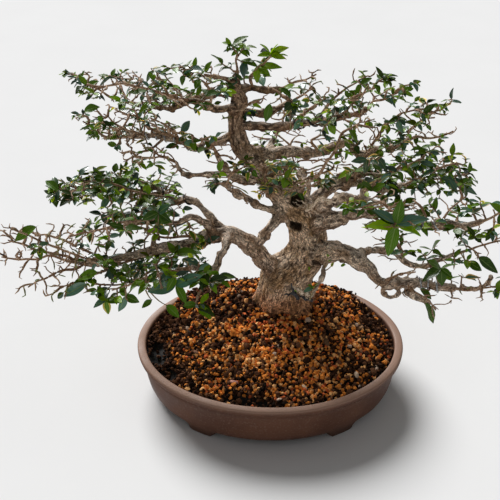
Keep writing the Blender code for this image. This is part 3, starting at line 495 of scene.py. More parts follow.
LARGE_LEAVES = np.array(
    [(*base, *leaf) for base, leaves in LEAF_CLUSTERS for leaf in leaves], dtype=float)

# Camera: where it stands from the pot's middle, how far it looks down, and its lens
CAMERA_SIDE = -29.0
CAMERA_AIM_HEIGHT = 231.0
CAMERA_DISTANCE = 1216.0
CAMERA_PITCH = 32.7
CAMERA_LENS = 65.0
CAMERA_SENSOR = 36.0

# Light and floor. The softboxes look at the tree's middle, which is in metres like their own places
FLOOR_KEY_COMES_FROM = (-0.46, 0.86, 1.00)
KEY_COMES_FROM = (-0.35, 0.80, 0.54)
TREE_MIDDLE = (0.0, 0.0, 0.2)
FLOOR_HALF_SIZE = 30000.0


# Numbers for whole arrays

def unit(vectors):
    return vectors / np.maximum(np.linalg.norm(vectors, axis=-1, keepdims=True), 1e-9)


def smoothstep(values):
    """3 v^2 - 2 v^3, with v held between 0 and 1."""
    values = np.clip(values, 0.0, 1.0)
    return values * values * (3.0 - 2.0 * values)


def turns(count):
    """Angles of equal steps round a circle."""
    return np.arange(count) * math.tau / count


def flat_places(x, y):
    return np.stack((x, y, x * 0), axis=-1)


def spot(x, y, middle_x, middle_y, width, depth):
    """A soft oval spot: exp(-distance^2), with the distance measured in its half sizes."""
    return np.exp(-(((x - middle_x) / width) ** 2 + ((y - middle_y) / depth) ** 2))


def nearest(points, others):
    """For each point, the number of the nearest of the others and how far off it is."""
    away = np.linalg.norm(points[:, None] - others[None], axis=-1)
    best = np.argmin(away, axis=1)
    return best, away[np.arange(len(points)), best]


def lattice(cells, seed):
    """A fixed random number from -1 to 1 for each whole-number cell, by mixing its three numbers."""
    mixed = (cells @ np.array((374761393, 668265263, 1442695041)) + seed * 1013904223) & 0xFFFFFFFF
    mixed = ((mixed ^ (mixed >> 13)) * 1274126177) & 0xFFFFFFFF
    mixed ^= mixed >> 16
    return mixed / 2147483647.5 - 1.0


def noise(points, size, seed):
    """Value noise from about -1 to 1: the cells' numbers at the eight corners, blended smoothly."""
    scaled = np.asarray(points, dtype=float) / size
    low = np.floor(scaled)
    part = scaled - low
    part = part ** 3 * (part * (part * 6.0 - 15.0) + 10.0)
    cells = low.astype(np.int64)
    total = np.zeros(len(cells))
    for corner in itertools.product((0, 1), repeat=3):
        weight = np.prod(np.where(corner, part, 1.0 - part), axis=-1)
        total += weight * lattice(cells + np.array(corner), seed)
    return total


def fractal(points, size, octaves, seed):
    """Noise summed over octaves, each of half the size and half the strength of the one before."""
    return sum(noise(points, size / 2 ** k, seed + k) / 2 ** k for k in range(octaves))


def smooth_route(route, step):
    """Points about one step apart on a Catmull-Rom curve through the route, with every column carried."""
    route = np.asarray(route, dtype=float)
    ends = np.vstack((2 * route[0] - route[1], route, 2 * route[-1] - route[-2]))
    runs = []
    for p0, p1, p2, p3 in zip(ends, ends[1:], ends[2:], ends[3:]):
        count = max(int(np.linalg.norm((p2 - p1)[:3]) / step), 1)
        t = (np.arange(count) / count)[:, None]
        runs.append(0.5 * (2 * p1 + (p2 - p0) * t + (2 * p0 - 5 * p1 + 4 * p2 - p3) * t ** 2
                           + (3 * p1 - p0 - 3 * p2 + p3) * t ** 3))
    return np.vstack(runs + [route[-1:]])


def turning_frames(centres):
    """Tangents, sides and ups along a route, turning as little as possible from one point to the next."""
    tangents = unit(np.gradient(centres, axis=0))
    side = EAST if abs(tangents[0, 0]) < 0.9 else NORTH
    sides = np.empty_like(centres)
    for i, tangent in enumerate(tangents):
        side = unit(side - tangent * side.dot(tangent))
        sides[i] = side
    return tangents, sides, np.cross(tangents, sides)


def run_lengths(centres):
    """Distance travelled along a route at each of its points."""
    return np.concatenate(([0.0], np.cumsum(np.linalg.norm(np.diff(centres, axis=0), axis=1))))


def along_route(route, shares):
    """Points, radii and directions at shares of a route's length."""
    run = run_lengths(route[:, :3])
    at = np.asarray(shares, dtype=float) * run[-1]
    values = np.stack([np.interp(at, run, route[:, k]) for k in range(4)], axis=-1)
    tangents = unit(np.gradient(route[:, :3], axis=0))
    ways = np.stack([np.interp(at, run, tangents[:, k]) for k in range(3)], axis=-1)
    return values[..., :3], values[..., 3], unit(ways)


# Surfaces

def ring_faces(rings, sides):
    """Triangles of a closed surface: equal rings, with one pole before the first and one after the last."""
    i, j = (grid.ravel() for grid in np.meshgrid(np.arange(rings - 1), np.arange(sides), indexing="ij"))
    a = i * sides + j
    b = i * sides + (j + 1) % sides
    lower, upper = np.stack((a, b, b + sides), axis=1), np.stack((a, b + sides, a + sides), axis=1)
    around = np.arange(sides)
    after = (around + 1) % sides
    first = np.stack((np.full(sides, rings * sides), after, around), axis=1)
    top = (rings - 1) * sides
    last = np.stack((np.full(sides, rings * sides + 1), top + around, top + after), axis=1)
    return np.concatenate((lower, upper, first, last))


def rings_round(centres, radii, side, up, sides):
    """Rings of points: each is centre + radius (side cos a + up sin a)."""
    turn = turns(sides)
    circle = side[..., None, :] * np.cos(turn)[:, None] + up[..., None, :] * np.sin(turn)[:, None]
    return centres[..., None, :] + radii[..., None] * circle


def tube_points(centres, radii, sides):
    """Points of many tubes at once, from centres (tube, station, 3) and radii (tube, station).

    Each pole stands a little past its end ring.
    """
    tangents = unit(np.gradient(centres, axis=1))
    across = unit(np.cross(tangents, np.where(np.abs(tangents[..., :1]) < 0.8, EAST, NORTH)))
    rings = rings_round(centres, radii[..., None], across, np.cross(tangents, across), sides)
    first = centres[:, 0] - tangents[:, 0] * radii[:, :1] * TUBE_END
    last = centres[:, -1] + tangents[:, -1] * radii[:, -1:] * TUBE_END
    return np.concatenate((rings.reshape(len(centres), -1, 3), first[:, None], last[:, None]), axis=1)


def copies(points, faces):
    """Copies of one shape as one surface, from points (copy, point, 3) and the triangles of one copy."""
    starts = (np.arange(len(points)) * points.shape[1])[:, None, None]
    return points.reshape(-1, 3), (faces[None] + starts).reshape(-1, 3)


def joined(parts):
    """Points and triangles of several surfaces as one."""
    starts = np.concatenate(([0], np.cumsum([len(points) for points, _ in parts])[:-1]))
    points = np.concatenate([points for points, _ in parts])
    faces = np.concatenate([faces + start for (_, faces), start in zip(parts, starts)])
    return points, faces


def mesh_object(name, points, faces, material, sharp=None):
    """A smooth-shaded object from points in the pot's millimetres and triangles."""
    mesh = bpy.data.meshes.new(name)
    mesh.vertices.add(len(points))
    mesh.vertices.foreach_set("co", (points * MM + POT_MIDDLE).astype(np.float32).ravel())
    mesh.loops.add(faces.size)
    mesh.loops.foreach_set("vertex_index", faces.astype(np.int32).ravel())
    mesh.polygons.add(len(faces))
    mesh.polygons.foreach_set("loop_start", np.arange(0, faces.size, 3, dtype=np.int32))
    mesh.update(calc_edges=True)
    mesh.shade_smooth()
    if sharp:
        mesh.set_sharp_from_angle(angle=math.radians(sharp))
    mesh.materials.append(material)
    obj = bpy.data.objects.new(name, mesh)
    bpy.context.scene.collection.objects.link(obj)
    return obj


def evaluated_mesh(obj):
    """The mesh of an object with its modifiers applied."""
    graph = bpy.context.evaluated_depsgraph_get()
    graph.update()
    return bpy.data.meshes.new_from_object(obj.evaluated_get(graph))


def set_attribute(obj, name, kind, values):
    """Stores one number, vector or colour for each point of an object's mesh."""
    field = {"FLOAT": "value", "FLOAT_VECTOR": "vector", "FLOAT_COLOR": "color"}[kind]
    stored = obj.data.attributes.new(name, kind, "POINT")
    stored.data.foreach_set(field, np.asarray(values, dtype=np.float32).ravel())


def dress(obj, slot, *nodes):
    """Seats a new piece on the frame: it rides the root and stands for its nodes, which it hides. The slot
    is not used.
    """
    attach(obj, "root")
    if nodes:
        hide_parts(*nodes)
    return obj


# Shader helpers

def set_input(tree, socket, value):
    """Links a socket to the input, or gives it the value. A colour of three numbers is made opaque."""
    if isinstance(value, bpy.types.NodeSocket):
        tree.links.new(value, socket)
    elif isinstance(value, tuple) and socket.type == "RGBA":
        socket.default_value = (*value, 1.0)
    else:
        socket.default_value = value


def add_node(tree, kind, inputs=(), **settings):
    """A node with its settings, and with values or links for its inputs."""
    made = tree.nodes.new(kind)
    for name, value in settings.items():
        setattr(made, name, value)
    for key, value in dict(inputs).items():
        set_input(tree, made.inputs[key], value)
    return made


def math_node(tree, operation, a, b=0.5):
    return add_node(tree, "ShaderNodeMath", {0: a, 1: b}, operation=operation).outputs[0]


def times(tree, a, b):
    return math_node(tree, "MULTIPLY", a, b)


def plus(tree, a, b):
    return math_node(tree, "ADD", a, b)


def minus(tree, a, b):
    return math_node(tree, "SUBTRACT", a, b)


def larger(tree, a, b):
    return math_node(tree, "MAXIMUM", a, b)


def vector_scale(tree, vector, scale):
    return add_node(tree, "ShaderNodeVectorMath", {0: vector, 1: scale}, operation="MULTIPLY").outputs[0]


def noise_node(tree, vector, scale, detail=3.0, roughness=0.55):
    inputs = {"Vector": vector, "Scale": scale, "Detail": detail, "Roughness": roughness}
    return add_node(tree, "ShaderNodeTexNoise", inputs).outputs["Fac"]


def remap(tree, value, low, high, to_low=0.0, to_high=1.0):
    """A value carried smoothly from one range to the other, and held inside it."""
    inputs = {"Value": value, "From Min": low, "From Max": high, "To Min": to_low, "To Max": to_high}
    return add_node(tree, "ShaderNodeMapRange", inputs, interpolation_type="SMOOTHSTEP").outputs["Result"]


def mix_colour(tree, factor, a, b, blend="MIX"):
    made = add_node(tree, "ShaderNodeMix", data_type="RGBA", blend_type=blend, clamp_factor=True)
    for number, value in ((0, factor), (6, a), (7, b)):
        set_input(tree, made.inputs[number], value)
    return made.outputs[2]


def layered(tree, colour, *layers):
    """A colour under layers, each with a mask, a tint and, where it isn't MIX, a blend mode."""
    for mask, tint, *blend in layers:
        colour = mix_colour(tree, mask, colour, tint, *blend)
    return colour


def new_material(name, roughness, specular=0.5):
    """A material with its node tree and its Principled shader."""
    material = bpy.data.materials.new(name)
    material.use_nodes = True
    shader = material.node_tree.nodes["Principled BSDF"]
    shader.inputs["Roughness"].default_value = roughness
    shader.inputs["Specular IOR Level"].default_value = specular
    return material, material.node_tree, shader


def add_skin(tree, shader, colour, height, distance, strength=1.0):
    """Gives the shader its colour, and a bump that rises by the distance, in millimetres."""
    inputs = {"Height": height, "Distance": distance * MM, "Strength": strength}
    tree.links.new(colour, shader.inputs["Base Color"])
    tree.links.new(add_node(tree, "ShaderNodeBump", inputs).outputs["Normal"], shader.inputs["Normal"])


def object_millimetres(tree):
    place = add_node(tree, "ShaderNodeTexCoord").outputs["Object"]
    return vector_scale(tree, place, (1 / MM, 1 / MM, 1 / MM))


def attribute(tree, name, output="Fac"):
    return add_node(tree, "ShaderNodeAttribute", attribute_name=name).outputs[output]


def new_group(name, inputs, outputs):
    """An empty shader node group with its sockets, and its two end nodes."""
    group = bpy.data.node_groups.new(name, "ShaderNodeTree")
    for way, sockets in (("INPUT", inputs), ("OUTPUT", outputs)):
        for label, kind in sockets.items():
            group.interface.new_socket(label, in_out=way, socket_type=f"NodeSocket{kind}")
    return group, group.nodes.new("NodeGroupInput").outputs, group.nodes.new("NodeGroupOutput").inputs


def shade_group():
    """Shared by the materials: a colour made lighter or darker by a number that changes over a surface."""
    if "shade" in bpy.data.node_groups:
        return bpy.data.node_groups["shade"]
    group, given, out = new_group("shade", {"Colour": "Color", "Shade": "Float"}, {"Shaded": "Color"})
    grey = add_node(group, "ShaderNodeCombineColor", {k: given["Shade"] for k in range(3)}).outputs[0]
    group.links.new(mix_colour(group, 1.0, given["Colour"], grey, "MULTIPLY"), out["Shaded"])
    return group


def mottle_group():
    """Shared by the materials: two colours blended in soft blotches, and the blotches as a mask."""
    if "mottle" in bpy.data.node_groups:
        return bpy.data.node_groups["mottle"]
    inputs = {name: "Float" for name in ("Scale", "Detail", "Low", "High")}
    inputs |= {"Dark": "Color", "Light": "Color"}
    group, given, out = new_group("mottle", inputs, {"Colour": "Color", "Mask": "Float"})
    mask = noise_node(group, object_millimetres(group), given["Scale"], given["Detail"])
    share = remap(group, mask, given["Low"], given["High"])
    group.links.new(mix_colour(group, share, given["Dark"], given["Light"]), out["Colour"])
    group.links.new(mask, out["Mask"])
    return group


def place_group(tree, group, inputs):
    """A shared group placed in a material with its own values."""
    made = tree.nodes.new("ShaderNodeGroup")
    made.node_tree = group
    for name, value in inputs.items():
        set_input(tree, made.inputs[name], value)
    return made.outputs


def shaded(tree, colour, shade):
    return place_group(tree, shade_group(), {"Colour": colour, "Shade": shade})["Shaded"]


def mottled(tree, scale, detail, low, high, dark, light):
    """The colour and the mask of blotches at a scale, from dark to light between two noise values."""
    inputs = {"Scale": scale, "Detail": detail, "Low": low, "High": high, "Dark": dark, "Light": light}
    made = place_group(tree, mottle_group(), inputs)
    return made["Colour"], made["Mask"]


def bark_group():
    """Bark in the limb's own space: fibres and a net of cracks along the wood, and the height they cut."""
    names = ("Fibres", "Speckle", "Cracks", "Patches", "Height")
    group, _, out = new_group("bark pattern", {}, {name: "Float" for name in names})
    grain = attribute(group, "grain", "Vector")
    place = object_millimetres(group)
    warp = add_node(group, "ShaderNodeTexNoise", {"Vector": place, "Scale": 0.16, "Detail": 3.0})
    shift = vector_scale(group, warp.outputs["Color"], (7.0, 7.0, 7.0))
    bent = add_node(group, "ShaderNodeVectorMath", {0: grain, 1: shift}, operation="ADD").outputs[0]
    fibres = noise_node(group, vector_scale(group, bent, (0.60, 0.60, 0.17)), 1.0, 4.0, 0.6)
    speckle = noise_node(group, place, 0.42, 5.0, 0.72)
    nets = []
    for size, width in (((0.17, 0.17, 0.040), 0.15), ((0.40, 0.40, 0.11), 0.20)):
        inputs = {"Vector": vector_scale(group, bent, size), "Scale": 1.0}
        cells = add_node(group, "ShaderNodeTexVoronoi", inputs, feature="DISTANCE_TO_EDGE")
        nets.append(remap(group, cells.outputs["Distance"], 0.0, width, 1.0, 0.0))
    broken = noise_node(group, place, 0.09, 3.0)
    coarse = times(group, nets[0], remap(group, broken, 0.42, 0.58))
    close = times(group, nets[1], remap(group, broken, 0.60, 0.44, 0.0, 0.5))
    cracks = larger(group, coarse, close)
    patches = noise_node(group, place, 0.045, 4.0, 0.6)
    rough = plus(group, fibres, times(group, speckle, 0.7))
    height = minus(group, rough, times(group, cracks, 0.6))
    for name, socket in zip(names, (fibres, speckle, cracks, patches, height)):
        group.links.new(socket, out[name])
    return group


def bark_material():
    """Grey-beige bark, paler on young limbs, with dark cracks, pits, and a foot stained by the soil.
    Painted shade darkens its undersides, its grooves, its hollows and scars and the trunk under the crown;
    painted highlight pales its tops and its ridges.
    """
    material, tree, shader = new_material("bark", 0.82, 0.12)
    fibres, speckle, cracks, patches, height = place_group(tree, bark_group(), {})
    mask = remap(tree, patches, 0.38, 0.62)
    young = mix_colour(tree, mask, (0.50, 0.33, 0.21), (0.90, 0.71, 0.54))
    old = mix_colour(tree, mask, (0.47, 0.29, 0.15), (0.88, 0.66, 0.46))
    colour = mix_colour(tree, remap(tree, attribute(tree, "thickness"), 8.0, 26.0), young, old)
    streaks = remap(tree, fibres, 0.34, 0.66, 0.50, 1.46)
    grit = remap(tree, speckle, 0.37, 0.62, 0.62, 1.46)
    stain = times(tree, attribute(tree, "stain"), remap(tree, patches, 0.3, 0.6, 0.6, 1.0))
    # painted highlight and painted shade by which way the skin faces, broken up by the patches
    painted_light_by_facing = plus(tree, attribute(tree, "upward"), times(tree, patches, 0.5))
    relief = attribute(tree, "relief")
    pits = remap(tree, speckle, 0.36, 0.30, 0.0, 0.75)
    colour = layered(
        tree, shaded(tree, colour, times(tree, streaks, grit)),
        (stain, (0.95, 0.50, 0.27), "MULTIPLY"),
        # painted shade on the trunk under the crown
        (attribute(tree, "crown"), (0.62, 0.52, 0.44), "MULTIPLY"),
        # painted shade on the undersides, then painted highlight on the tops
        (remap(tree, painted_light_by_facing, 0.15, -0.45, 0.0, 0.8), (0.36, 0.30, 0.25), "MULTIPLY"),
        (remap(tree, painted_light_by_facing, 0.75, 1.2, 0.0, 0.4), (0.88, 0.78, 0.67)),
        # painted shade in the low places of the relief, then painted highlight on its high places
        (remap(tree, relief, -0.1, -1.1, 0.0, 0.75), (0.055, 0.035, 0.024)),
        (remap(tree, relief, 0.25, 1.2, 0.0, 0.5), (0.62, 0.51, 0.41)),
        (larger(tree, times(tree, cracks, 0.86), pits), (0.045, 0.026, 0.017)),
        # painted shade inside the hollows and scars
        (attribute(tree, "hollow"), (0.034, 0.020, 0.013)))
    add_skin(tree, shader, colour, height, 2.2)
    return material


def twig_material():
    """Thin bark: pale tan with darker nodes, and green on the youngest shoots."""
    material, tree, shader = new_material("twig bark", 0.7, 0.15)
    fine = noise_node(tree, object_millimetres(tree), 0.42, 3.0)
    colour, _ = mottled(tree, 0.06, 2.0, 0.35, 0.65, (0.27, 0.150, 0.078), (0.50, 0.34, 0.22))
    colour = layered(
        tree, colour,
        (remap(tree, fine, 0.45, 0.62, 0.0, 0.75), (0.085, 0.046, 0.026)),
        (attribute(tree, "green"), (0.14, 0.20, 0.035)))
    add_skin(tree, shader, colour, fine, 0.5, 0.8)
    return material


def leaf_material():
    """Glossy leaves. The tone attribute holds a leaf's age, whose lowest values give blue-green colours as
    a painted bluish sheen, its brightness and how yellow its edge is.
    """
    material, tree, shader = new_material("leaf", 0.3, 0.10)
    parts = add_node(tree, "ShaderNodeSeparateColor", {0: attribute(tree, "tone", "Color")})
    age_and_sheen, light, yellow = (parts.outputs[i] for i in range(3))
    # the ramp's blue-green start paints a bluish sheen
    ramp = add_node(tree, "ShaderNodeValToRGB", {"Fac": age_and_sheen})
    while len(ramp.color_ramp.elements) < len(LEAF_GREENS):
        ramp.color_ramp.elements.new(0.5)
    for element, (position, colour) in zip(ramp.color_ramp.elements, LEAF_GREENS):
        element.position = position
        element.color = (*colour, 1.0)
    blade = add_node(tree, "ShaderNodeUVMap", uv_map="blade").outputs["UV"]
    across, along = (add_node(tree, "ShaderNodeSeparateXYZ", {0: blade}).outputs[i] for i in range(2))
    middle = math_node(tree, "ABSOLUTE", minus(tree, across, 0.5))
    rib = remap(tree, middle, 0.015, 0.065, 1.0, 0.0)
    slant = plus(tree, times(tree, along, 46.0), times(tree, middle, -36.0))
    veins = remap(tree, math_node(tree, "SINE", slant, 0.0), 0.55, 1.0, 0.0, 0.3)
    mottle = noise_node(tree, object_millimetres(tree), 0.16, 3.0)
    edge = remap(tree, plus(tree, middle, times(tree, mottle, 0.35)), 0.42, 0.54)
    colour = shaded(tree, layered(
        tree, ramp.outputs["Color"],
        (remap(tree, mottle, 0.35, 0.65, 0.0, 0.2), (0.060, 0.13, 0.012)),
        (larger(tree, times(tree, rib, 0.7), veins), (0.16, 0.22, 0.06)),
        (times(tree, edge, yellow), (0.80, 0.55, 0.16))), light)
    tree.links.new(remap(tree, mottle, 0.3, 0.7, 0.27, 0.42), shader.inputs["Roughness"])
    tree.links.new(remap(tree, age_and_sheen, 0.09, 0.2, 1.0, 0.16), shader.inputs["Coat Weight"])
    shader.inputs["Coat Roughness"].default_value = 0.2
    glow = mix_colour(tree, 1.0, colour, (1.6, 1.7, 0.7), "MULTIPLY")
    through = add_node(tree, "ShaderNodeBsdfTranslucent", {"Color": glow})
    share = remap(tree, age_and_sheen, 0.3, 0.9, 0.12, 0.42)
    mixed = add_node(tree, "ShaderNodeMixShader", {0: share, 1: shader.outputs[0], 2: through.outputs[0]})
    tree.links.new(mixed.outputs[0], tree.nodes["Material Output"].inputs["Surface"])
    height = minus(tree, times(tree, mottle, 0.5), plus(tree, rib, veins))
    add_skin(tree, shader, colour, height, 0.25, 0.7)
    return material


def clay_material():
    """Unglazed brown clay: mottled, speckled with grit, paler on the lip, partly from wear and partly as
    painted highlight, and darkened by painted shade underneath and inside.
    """
    material, tree, shader = new_material("unglazed clay", 0.62, 0.3)
    place = object_millimetres(tree)
    grit = noise_node(tree, place, 1.1, 2.0)
    fine = noise_node(tree, place, 0.35, 4.0)
    colour, cloud = mottled(tree, 0.02, 4.0, 0.35, 0.65, (0.082, 0.029, 0.0135), (0.120, 0.049, 0.026))
    colour = layered(
        tree, colour,
        # paler lip: partly wear, partly painted highlight
        (attribute(tree, "lip_wear_and_highlight"), (0.43, 0.265, 0.19)),
        (remap(tree, fine, 0.5, 0.75, 0.0, 0.35), (0.25, 0.16, 0.12)),
        (remap(tree, grit, 0.62, 0.72, 0.0, 0.5), (0.045, 0.022, 0.016)),
        # painted shade underneath and inside the pot
        (attribute(tree, "soot"), (0.035, 0.022, 0.016)))
    tree.links.new(remap(tree, cloud, 0.3, 0.7, 0.5, 0.72), shader.inputs["Roughness"])
    add_skin(tree, shader, colour, plus(tree, times(tree, grit, 0.4), fine), 0.35, 0.6)
    return material


def granule_material():
    """Fired clay and pumice grains, each with its own colour, dusty and rough."""
    material, tree, shader = new_material("soil granules", 0.9, 0.05)
    place = object_millimetres(tree)
    dust = remap(tree, noise_node(tree, place, 0.7, 3.0), 0.3, 0.7, 0.68, 1.25)
    colour = shaded(tree, attribute(tree, "grain_colour", "Color"), dust)
    add_skin(tree, shader, colour, noise_node(tree, place, 1.4, 3.0), 0.6, 0.9)
    return material


def packed_soil_material():
    """Dark soil that shows between the grains, deepened to near-black as painted shade in the gaps."""
    material, tree, shader = new_material("packed soil", 0.95)
    # near-black: partly the soil's own colour, partly painted shade between the grains
    colour, lumps = mottled(tree, 0.3, 4.0, 0.40, 0.65, (0.004, 0.004, 0.004), (0.018, 0.013, 0.010))
    add_skin(tree, shader, colour, lumps, 2.0)
    return material


def wire_material(name, colour, roughness, metallic):
    """Annealed wire with a dull, blotched skin."""
    material, tree, shader = new_material(name, roughness)
    shader.inputs["Metallic"].default_value = metallic
    dark = tuple(value * 0.45 for value in colour)
    skin, blotch = mottled(tree, 0.3, 3.0, 0.35, 0.65, dark, colour)
    add_skin(tree, shader, skin, blotch, 0.2, 0.4)
    return material


def plastic_mesh_material():
    """Black plastic netting: a square grid of strands in the object's plane, drawn as relief and colour."""
    material, tree, shader = new_material("plastic mesh", 0.55)
    grid = add_node(tree, "ShaderNodeTexBrick", {
        "Vector": object_millimetres(tree), "Scale": 1.0, "Mortar Size": 0.6, "Brick Width": 2.6,
        "Row Height": 2.6, "Color1": (0.004, 0.004, 0.004), "Color2": (0.006, 0.006, 0.006),
        "Mortar": (0.035, 0.035, 0.037)}, offset=0.0)
    add_skin(tree, shader, grid.outputs["Color"], grid.outputs["Fac"], 0.5, 0.8)
    return material


def deadwood_material():
    """Torn wood: pale and streaked, or nearly black where it was treated."""
    material, tree, shader = new_material("deadwood", 0.85, 0.15)
    pale, streaks = mottled(tree, 0.5, 4.0, 0.35, 0.65, (0.40, 0.27, 0.17), (0.86, 0.72, 0.55))
    dark, _ = mottled(tree, 0.5, 4.0, 0.35, 0.65, (0.012, 0.012, 0.014), (0.085, 0.080, 0.080))
    add_skin(tree, shader, mix_colour(tree, attribute(tree, "pale"), dark, pale), streaks, 0.5)
    return material


def floor_material():
    """A plain pale floor with a faint unevenness in its tone."""
    material, tree, shader = new_material("pale floor", 0.9, 0.1)
    colour, _ = mottled(tree, 0.004, 3.0, 0.2, 0.8, (0.80, 0.80, 0.80), (0.82, 0.82, 0.82))
    tree.links.new(colour, shader.inputs["Base Color"])
    return material


# Pot

def foot_share(turn):
    """1 over a foot, 0 between feet, with a short smooth edge."""
    angle = np.abs((np.degrees(turn) + 90.0) % 180.0 - 90.0)
    low, high = FOOT_ANGLES
    return smoothstep((angle - low) / FOOT_EDGE) * smoothstep((high - angle) / FOOT_EDGE)


def pot_surface(half_width, half_depth, rim_height, steps):
    """The tray as one profile carried round an oval: underside with feet, wall, lip and inside.

    A ring at inset d and height h is ((W - d) cos a, (D - d) sin a, h). Between the plain and the
    foot profile, d and h are blended by foot_share(a).
    """
    turn = turns(steps)
    share = foot_share(turn)
    insets = [plain * (1 - share) + foot * share for plain, _, foot, _ in POT_BASE]
    heights = [plain * (1 - share) + foot * share for _, plain, _, foot in POT_BASE]
    insets += [np.full(steps, inset) for inset, _ in POT_WALL]
    heights += [np.full(steps, height) for _, height in POT_WALL]
    insets, heights = np.array(insets), np.array(heights) * rim_height / RIM_HEIGHT
    wave = 0.35 * noise(POT_HALF_WIDTH * flat_places(np.cos(turn), np.sin(turn)), 45.0, 3)
    x = (half_width - insets + wave) * np.cos(turn)
    y = (half_depth - insets + wave) * np.sin(turn)
    rings = np.stack((x, y, heights), axis=-1)
    poles = np.array(((0.0, 0.0, heights[0, 0]), (0.0, 0.0, heights[-1, 0])))
    return np.vstack((rings.reshape(-1, 3), poles)), ring_faces(len(insets), steps), insets, heights


def cut_drain_holes(pot):
    """Cuts the two drain holes through the floor with Booleans that are applied at once."""
    turn = turns(DRAIN_SIDES)
    cutters = []
    for i, middle in enumerate((-DRAIN_OFFSET, DRAIN_OFFSET)):
        ring = flat_places(middle + DRAIN_RADIUS * np.cos(turn), DRAIN_RADIUS * np.sin(turn))
        ends = np.array([(middle, 0.0, height) for height in DRAIN_CUT])
        points = np.vstack((*(ring + (0, 0, height) for height in DRAIN_CUT), ends))
        faces = ring_faces(2, DRAIN_SIDES)
        cutters.append(mesh_object(f"drain_cutter_{i}", points, faces, pot.data.materials[0]))
        cut = pot.modifiers.new("Drain hole", "BOOLEAN")
        cut.operation = "DIFFERENCE"
        cut.object = cutters[-1]
    mesh = evaluated_mesh(pot)
    pot.modifiers.clear()
    pot.data = mesh
    for cutter in cutters:
        bpy.data.objects.remove(cutter)


def make_pot(settings):
    """The tray, with its paler lip, partly worn and partly painted highlight, and painted shade underneath
    and inside.
    """
    sizes = (settings.half_width, settings.half_depth, settings.rim_height)
    half_width, half_depth, rim = (value / MM for value in sizes)
    points, faces, insets, heights = pot_surface(half_width, half_depth, rim, settings.steps)
    pot = mesh_object("clay_pot", points, faces, clay_material(), sharp=50)
    ring = np.arange(len(insets))[:, None] + insets * 0
    # the top of the lip is paler: partly wear, partly painted highlight
    lip = smoothstep(1.0 - (rim - heights) / 4.0) * 0.7
    # painted shade underneath the pot and down its inside
    under = smoothstep((20.0 - heights) / 18.0) * 0.45
    inside = smoothstep((ring - len(insets) + 5.0) / 2.0)
    for name, values in (("lip_wear_and_highlight", lip), ("soot", np.maximum(under, inside))):
        set_attribute(pot, name, "FLOAT", np.concatenate((values.ravel(), (0.0, 0.0))))
    cut_drain_holes(pot)
    return dress(pot, "clay", "pot")


# Soil

def soil_rise(share, y):
    """Height of the mound: it climbs from the rim to the trunk, and is heaped on the rim at the back."""
    edge = SOIL_EDGE_HEIGHT + SOIL_BACK_HEAP * smoothstep((y / POT_HALF_DEPTH - 0.3) / 0.4)
    return edge + (SOIL_TOP - edge) * smoothstep(share)


def soil_relief(x, y):
    """Gentle unevenness, less the hollows where grains have sunk or washed away."""
    flat = flat_places(x, y).reshape(-1, 3)
    uneven = 1.6 * noise(flat, 26.0, 11) + 0.8 * noise(flat, 11.0, 12)
    return uneven.reshape(np.shape(x)) - soil_dip(x, y)


def soil_dip(x, y):
    """How far the hollows sink: each is its depth times a soft round spot."""
    return sum(depth * spot(x, y, east, north, size, size) for east, north, depth, size in SOIL_DIPS)


def soil_oval(share):
    """Middle and half sizes of the mound's outline at a share of the way from the rim to the trunk."""
    edge = np.array((POT_HALF_WIDTH - SOIL_EDGE_INSET, POT_HALF_DEPTH - SOIL_EDGE_INSET))
    half = edge + (np.array(PLATEAU_HALF_SIZES) - edge) * share[..., None]
    middle = np.array(TRUNK_CENTRE) * share[..., None]
    return middle, half


def soil_share(x, y):
    """How far from the rim to the trunk a place lies, by halving, since the outlines shrink steadily."""
    low, high = np.zeros_like(x), np.ones_like(x)
    for _ in range(SHARE_HALVINGS):
        share = (low + high) / 2
        middle, half = soil_oval(share)
        away = (np.stack((x, y), axis=-1) - middle) / half
        inside = (away ** 2).sum(axis=-1) < 1.0
        low, high = np.where(inside, share, low), np.where(inside, high, share)
    return (low + high) / 2


def make_packed_soil(settings):
    """The packed soil under the grains: a bed that follows the pot, then outlines up to the trunk."""
    turn = turns(SOIL_SIDES)
    cosine, sine = np.cos(turn), np.sin(turn)
    rings = []
    for inset, height in SOIL_BED:
        x, y = (POT_HALF_WIDTH - inset) * cosine, (POT_HALF_DEPTH - inset) * sine
        rings.append(np.stack((x, y, cosine * 0 + height), axis=-1))
    shares = np.linspace(0.0, 1.0, SOIL_RINGS)
    for share, (middle, half) in zip(shares, zip(*soil_oval(shares))):
        x, y = middle[0] + half[0] * cosine, middle[1] + half[1] * sine
        height = soil_rise(share, y) + soil_relief(x, y) - settings.grain_size / MM * 0.5
        rings.append(np.stack((x, y, height), axis=-1))
    points = np.concatenate([*rings, np.array([[0.0, 0.0, SOIL_BED[0][1]], [*TRUNK_CENTRE, SOIL_TOP]])])
    soil = mesh_object("packed_soil", points, ring_faces(len(rings), SOIL_SIDES), packed_soil_material())
    return dress(soil, "soil", "soil")


def icosahedron():
    """Points and outward triangles of a regular icosahedron of radius 1."""
    golden = (1 + math.sqrt(5)) / 2
    points = []
    for a, b in itertools.product((-1, 1), (-golden, golden)):
        points += [(0, a, b), (a, b, 0), (b, 0, a)]
    points = np.array(points) / math.hypot(1, golden)
    near = np.linalg.norm(points[:, None] - points[None], axis=-1) < 1.1
    triples = itertools.combinations(range(len(points)), 3)
    faces = np.array([(a, b, c) for a, b, c in triples if near[a, b] and near[b, c] and near[a, c]])
    flipped = np.linalg.det(points[faces]) < 0
    faces[flipped] = faces[flipped][:, ::-1]
    return points, faces


def random_turns(rng, count):
    """Random rotation matrices, from the QR factors of normal matrices."""
    matrices = np.linalg.qr(rng.normal(size=(count, 3, 3)))[0]
    return matrices * np.sign(np.linalg.det(matrices))[:, None, None]


